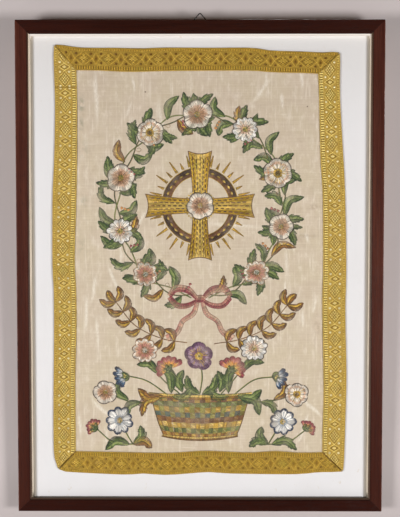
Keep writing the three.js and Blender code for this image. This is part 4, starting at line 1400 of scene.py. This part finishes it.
for branch in BRANCHES:
    stem(sprays, branch, ["brown gold", "mid brown"], 1.0, 1.2)
    places, headings = smooth_line(branch, LEAF_SPACING)
    for number, (spot, way) in enumerate(zip(places[1:], headings[1:])):
        for hand in (-1, 1):
            far = spot + way * LEAF_SPACING + hand * left_of(way) * needle.uniform(17, 22)
            leaf(sprays, spot, far, 6.4, hand * 0.2, BROWN_TONES, 0.8)
    leaf(sprays, places[-1], places[-1] + headings[-1] * 26, 6.4, 0.1, BROWN_TONES, 1.0)
for base, bend, head, radius, kind, faces, spread in SPRAYS:
    stem(sprays, [base, bend, head], ["dark green", "green", "yellow green"], 0.95, 1.4)
    bloom(sprays, *head, radius, kind, faces, spread, 3.0)
    if spread < 360:
        cup = head + 5 * ray_at(math.radians(faces + 180))
        for lean in CUP_TURNS:
            far = head + 10 * ray_at(math.radians(faces + lean))
            leaf(sprays, cup, far, 3.4, 0.1, layer=4.2)

# Floss: silk with little twist, so that each stitch shines along its length.
FADED = (0.52, 0.42, 0.30)
floss, surface = new_material("silk_floss", Roughness=0.42, Sheen_Weight=0.15)
place = object_coordinates(surface)
plug(surface["Base Color"], coated(thread_colour(surface), (
    ramp(noise(place, 46.0, 4.0, 0.6), 0.42, 0.72, 0.0, 0.30), FADED)))
bumped(surface, noise(place, 2400.0), 0.0001, 0.35)

silk_surface = surface_of(silk_piece)
WORKS = {"wreath": wreath, "wreath_blooms": wreath_blooms, "cross": cross_work,
         "gold": gold_work, "bow": bow, "basket": basket, "sprays": sprays}
needlework = [sewn("needlework_" + label, work, silk_surface,
                   metal_thread if work is gold_work else floss)
              for label, work in WORKS.items()]

# Hanger: a wire ring of blackened iron, held by a folded plate and two screws. Its black
# has been scuffed here and there to a paler grey.
IRON_COLOURS = {"black": (0.007, 0.0055, 0.005), "scuffed": (0.022, 0.018, 0.016)}
blackened, surface = new_material("blackened_iron", Specular_IOR_Level=0.2)
place = object_coordinates(surface)
scuffed = ramp(noise(place, 420.0, 4.0), 0.5, 0.7)
plug(surface["Base Color"], mixed(scuffed, IRON_COLOURS["black"], IRON_COLOURS["scuffed"]))
plug(surface["Roughness"], ramp(scuffed, 0.0, 1.0, 0.55, 0.35))
bumped(surface, noise(place, 900.0, 3.0), 0.0001, 0.4)
dress(blackened, "hanger_ring", "hanger_plate", "hanger_screw_left", "hanger_screw_right")

# Room: a pale floor well below the frame, and a pale upright plane close behind it that
# leans back a little and shows only from its front. Its paper is painted darker from the
# top of the frame upwards and towards the foot, as shade.
BACKDROP_LEAN = math.radians(2.2)
BACKDROP_GAP = 0.009  # behind the foot of the frame
BACKDROP_HALF = 3.0
BACKDROP_COLOURS = {"high": (0.605, 0.538, 0.527), "middle": (0.655, 0.582, 0.570),
                    "low": (0.50, 0.443, 0.433)}
BACKDROP_UPPER_SHADE = (-0.15, 0.0)
BACKDROP_FOOT_SHADE = (-0.80, -0.95)
FLOOR_Z = -2.0
FLOOR_HALF = 4.0


def sheet_of(half):
    sheet = bmesh.new()
    bmesh.ops.create_grid(sheet, x_segments=2, y_segments=2, size=half)
    return sheet


paper, surface = new_material("backdrop_paper", Roughness=0.95, Specular_IOR_Level=0.0)
height = axes_of(object_coordinates(surface))["Z"]
# Painted shade: the paper is darker above the frame and towards the foot.
plug(surface["Base Color"], coated(
    BACKDROP_COLOURS["middle"], (ramp(height, *BACKDROP_UPPER_SHADE), BACKDROP_COLOURS["high"]),
    (ramp(height, *BACKDROP_FOOT_SHADE), BACKDROP_COLOURS["low"])))
tree = paper.node_tree
either = add(tree, "MixShader", {
    0: add(tree, "NewGeometry").outputs["Backfacing"],
    1: tree.nodes["Principled BSDF"].outputs[0],
    2: add(tree, "BsdfTransparent").outputs[0]})
plug(tree.nodes["Material Output"].inputs["Surface"], either.outputs[0])

low_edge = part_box("rail_bottom")[0].z
sheet = sheet_of(BACKDROP_HALF)
bmesh.ops.rotate(sheet, verts=sheet.verts, cent=(0, 0, 0), matrix=turned_up_to((0, -1, 0)))
for point in sheet.verts:
    point.co.z += FLOOR_Z + BACKDROP_HALF
    point.co.y = BACKDROP_GAP + (point.co.z - low_edge) * math.tan(BACKDROP_LEAN)
backdrop = made_object("backdrop", sheet, paper)
for kind in ("diffuse", "glossy", "transmission", "shadow"):
    setattr(backdrop, "visible_" + kind, False)

floor_paint = new_material("floor_paint", Base_Color=(0.62, 0.60, 0.58), Roughness=0.8)[0]
sheet = sheet_of(FLOOR_HALF)
bmesh.ops.translate(sheet, verts=sheet.verts, vec=(0, 0, FLOOR_Z))
made_object("floor", sheet, floor_paint)

# Light: two soft panels, one on each side of the camera and a little below the middle of
# the frame, a weak one behind for the back, and an even room light.
LIGHTS = {
    # name: place, width, height, power
    "light_left": ((-1.93, -2.50, -0.75), 0.95, 0.66, 56.5),
    "light_right": ((1.95, -2.50, -0.75), 0.95, 0.66, 60.0),
    "light_behind": ((0.9, 2.6, 0.6), 1.5, 1.5, 105.0),
}
LIGHT_AIM = Vector((0.0, 0.0, -0.45))
ROOM_LIGHT = {"Color": (1.0, 0.985, 0.97, 1.0), "Strength": 0.02}

for name, (place, width, height, power) in LIGHTS.items():
    panel = bpy.data.lights.new(name, "AREA")
    panel.shape, panel.size, panel.size_y, panel.energy = "RECTANGLE", width, height, power
    lamp = bpy.data.objects.new(name, panel)
    lamp.location = place
    lamp.rotation_euler = (LIGHT_AIM - Vector(place)).to_track_quat("-Z", "Y").to_euler()
    bpy.context.collection.objects.link(lamp)

world = bpy.data.worlds.new("room")
world.use_nodes = True
for key, value in ROOM_LIGHT.items():
    world.node_tree.nodes["Background"].inputs[key].default_value = value
bpy.context.scene.world = world
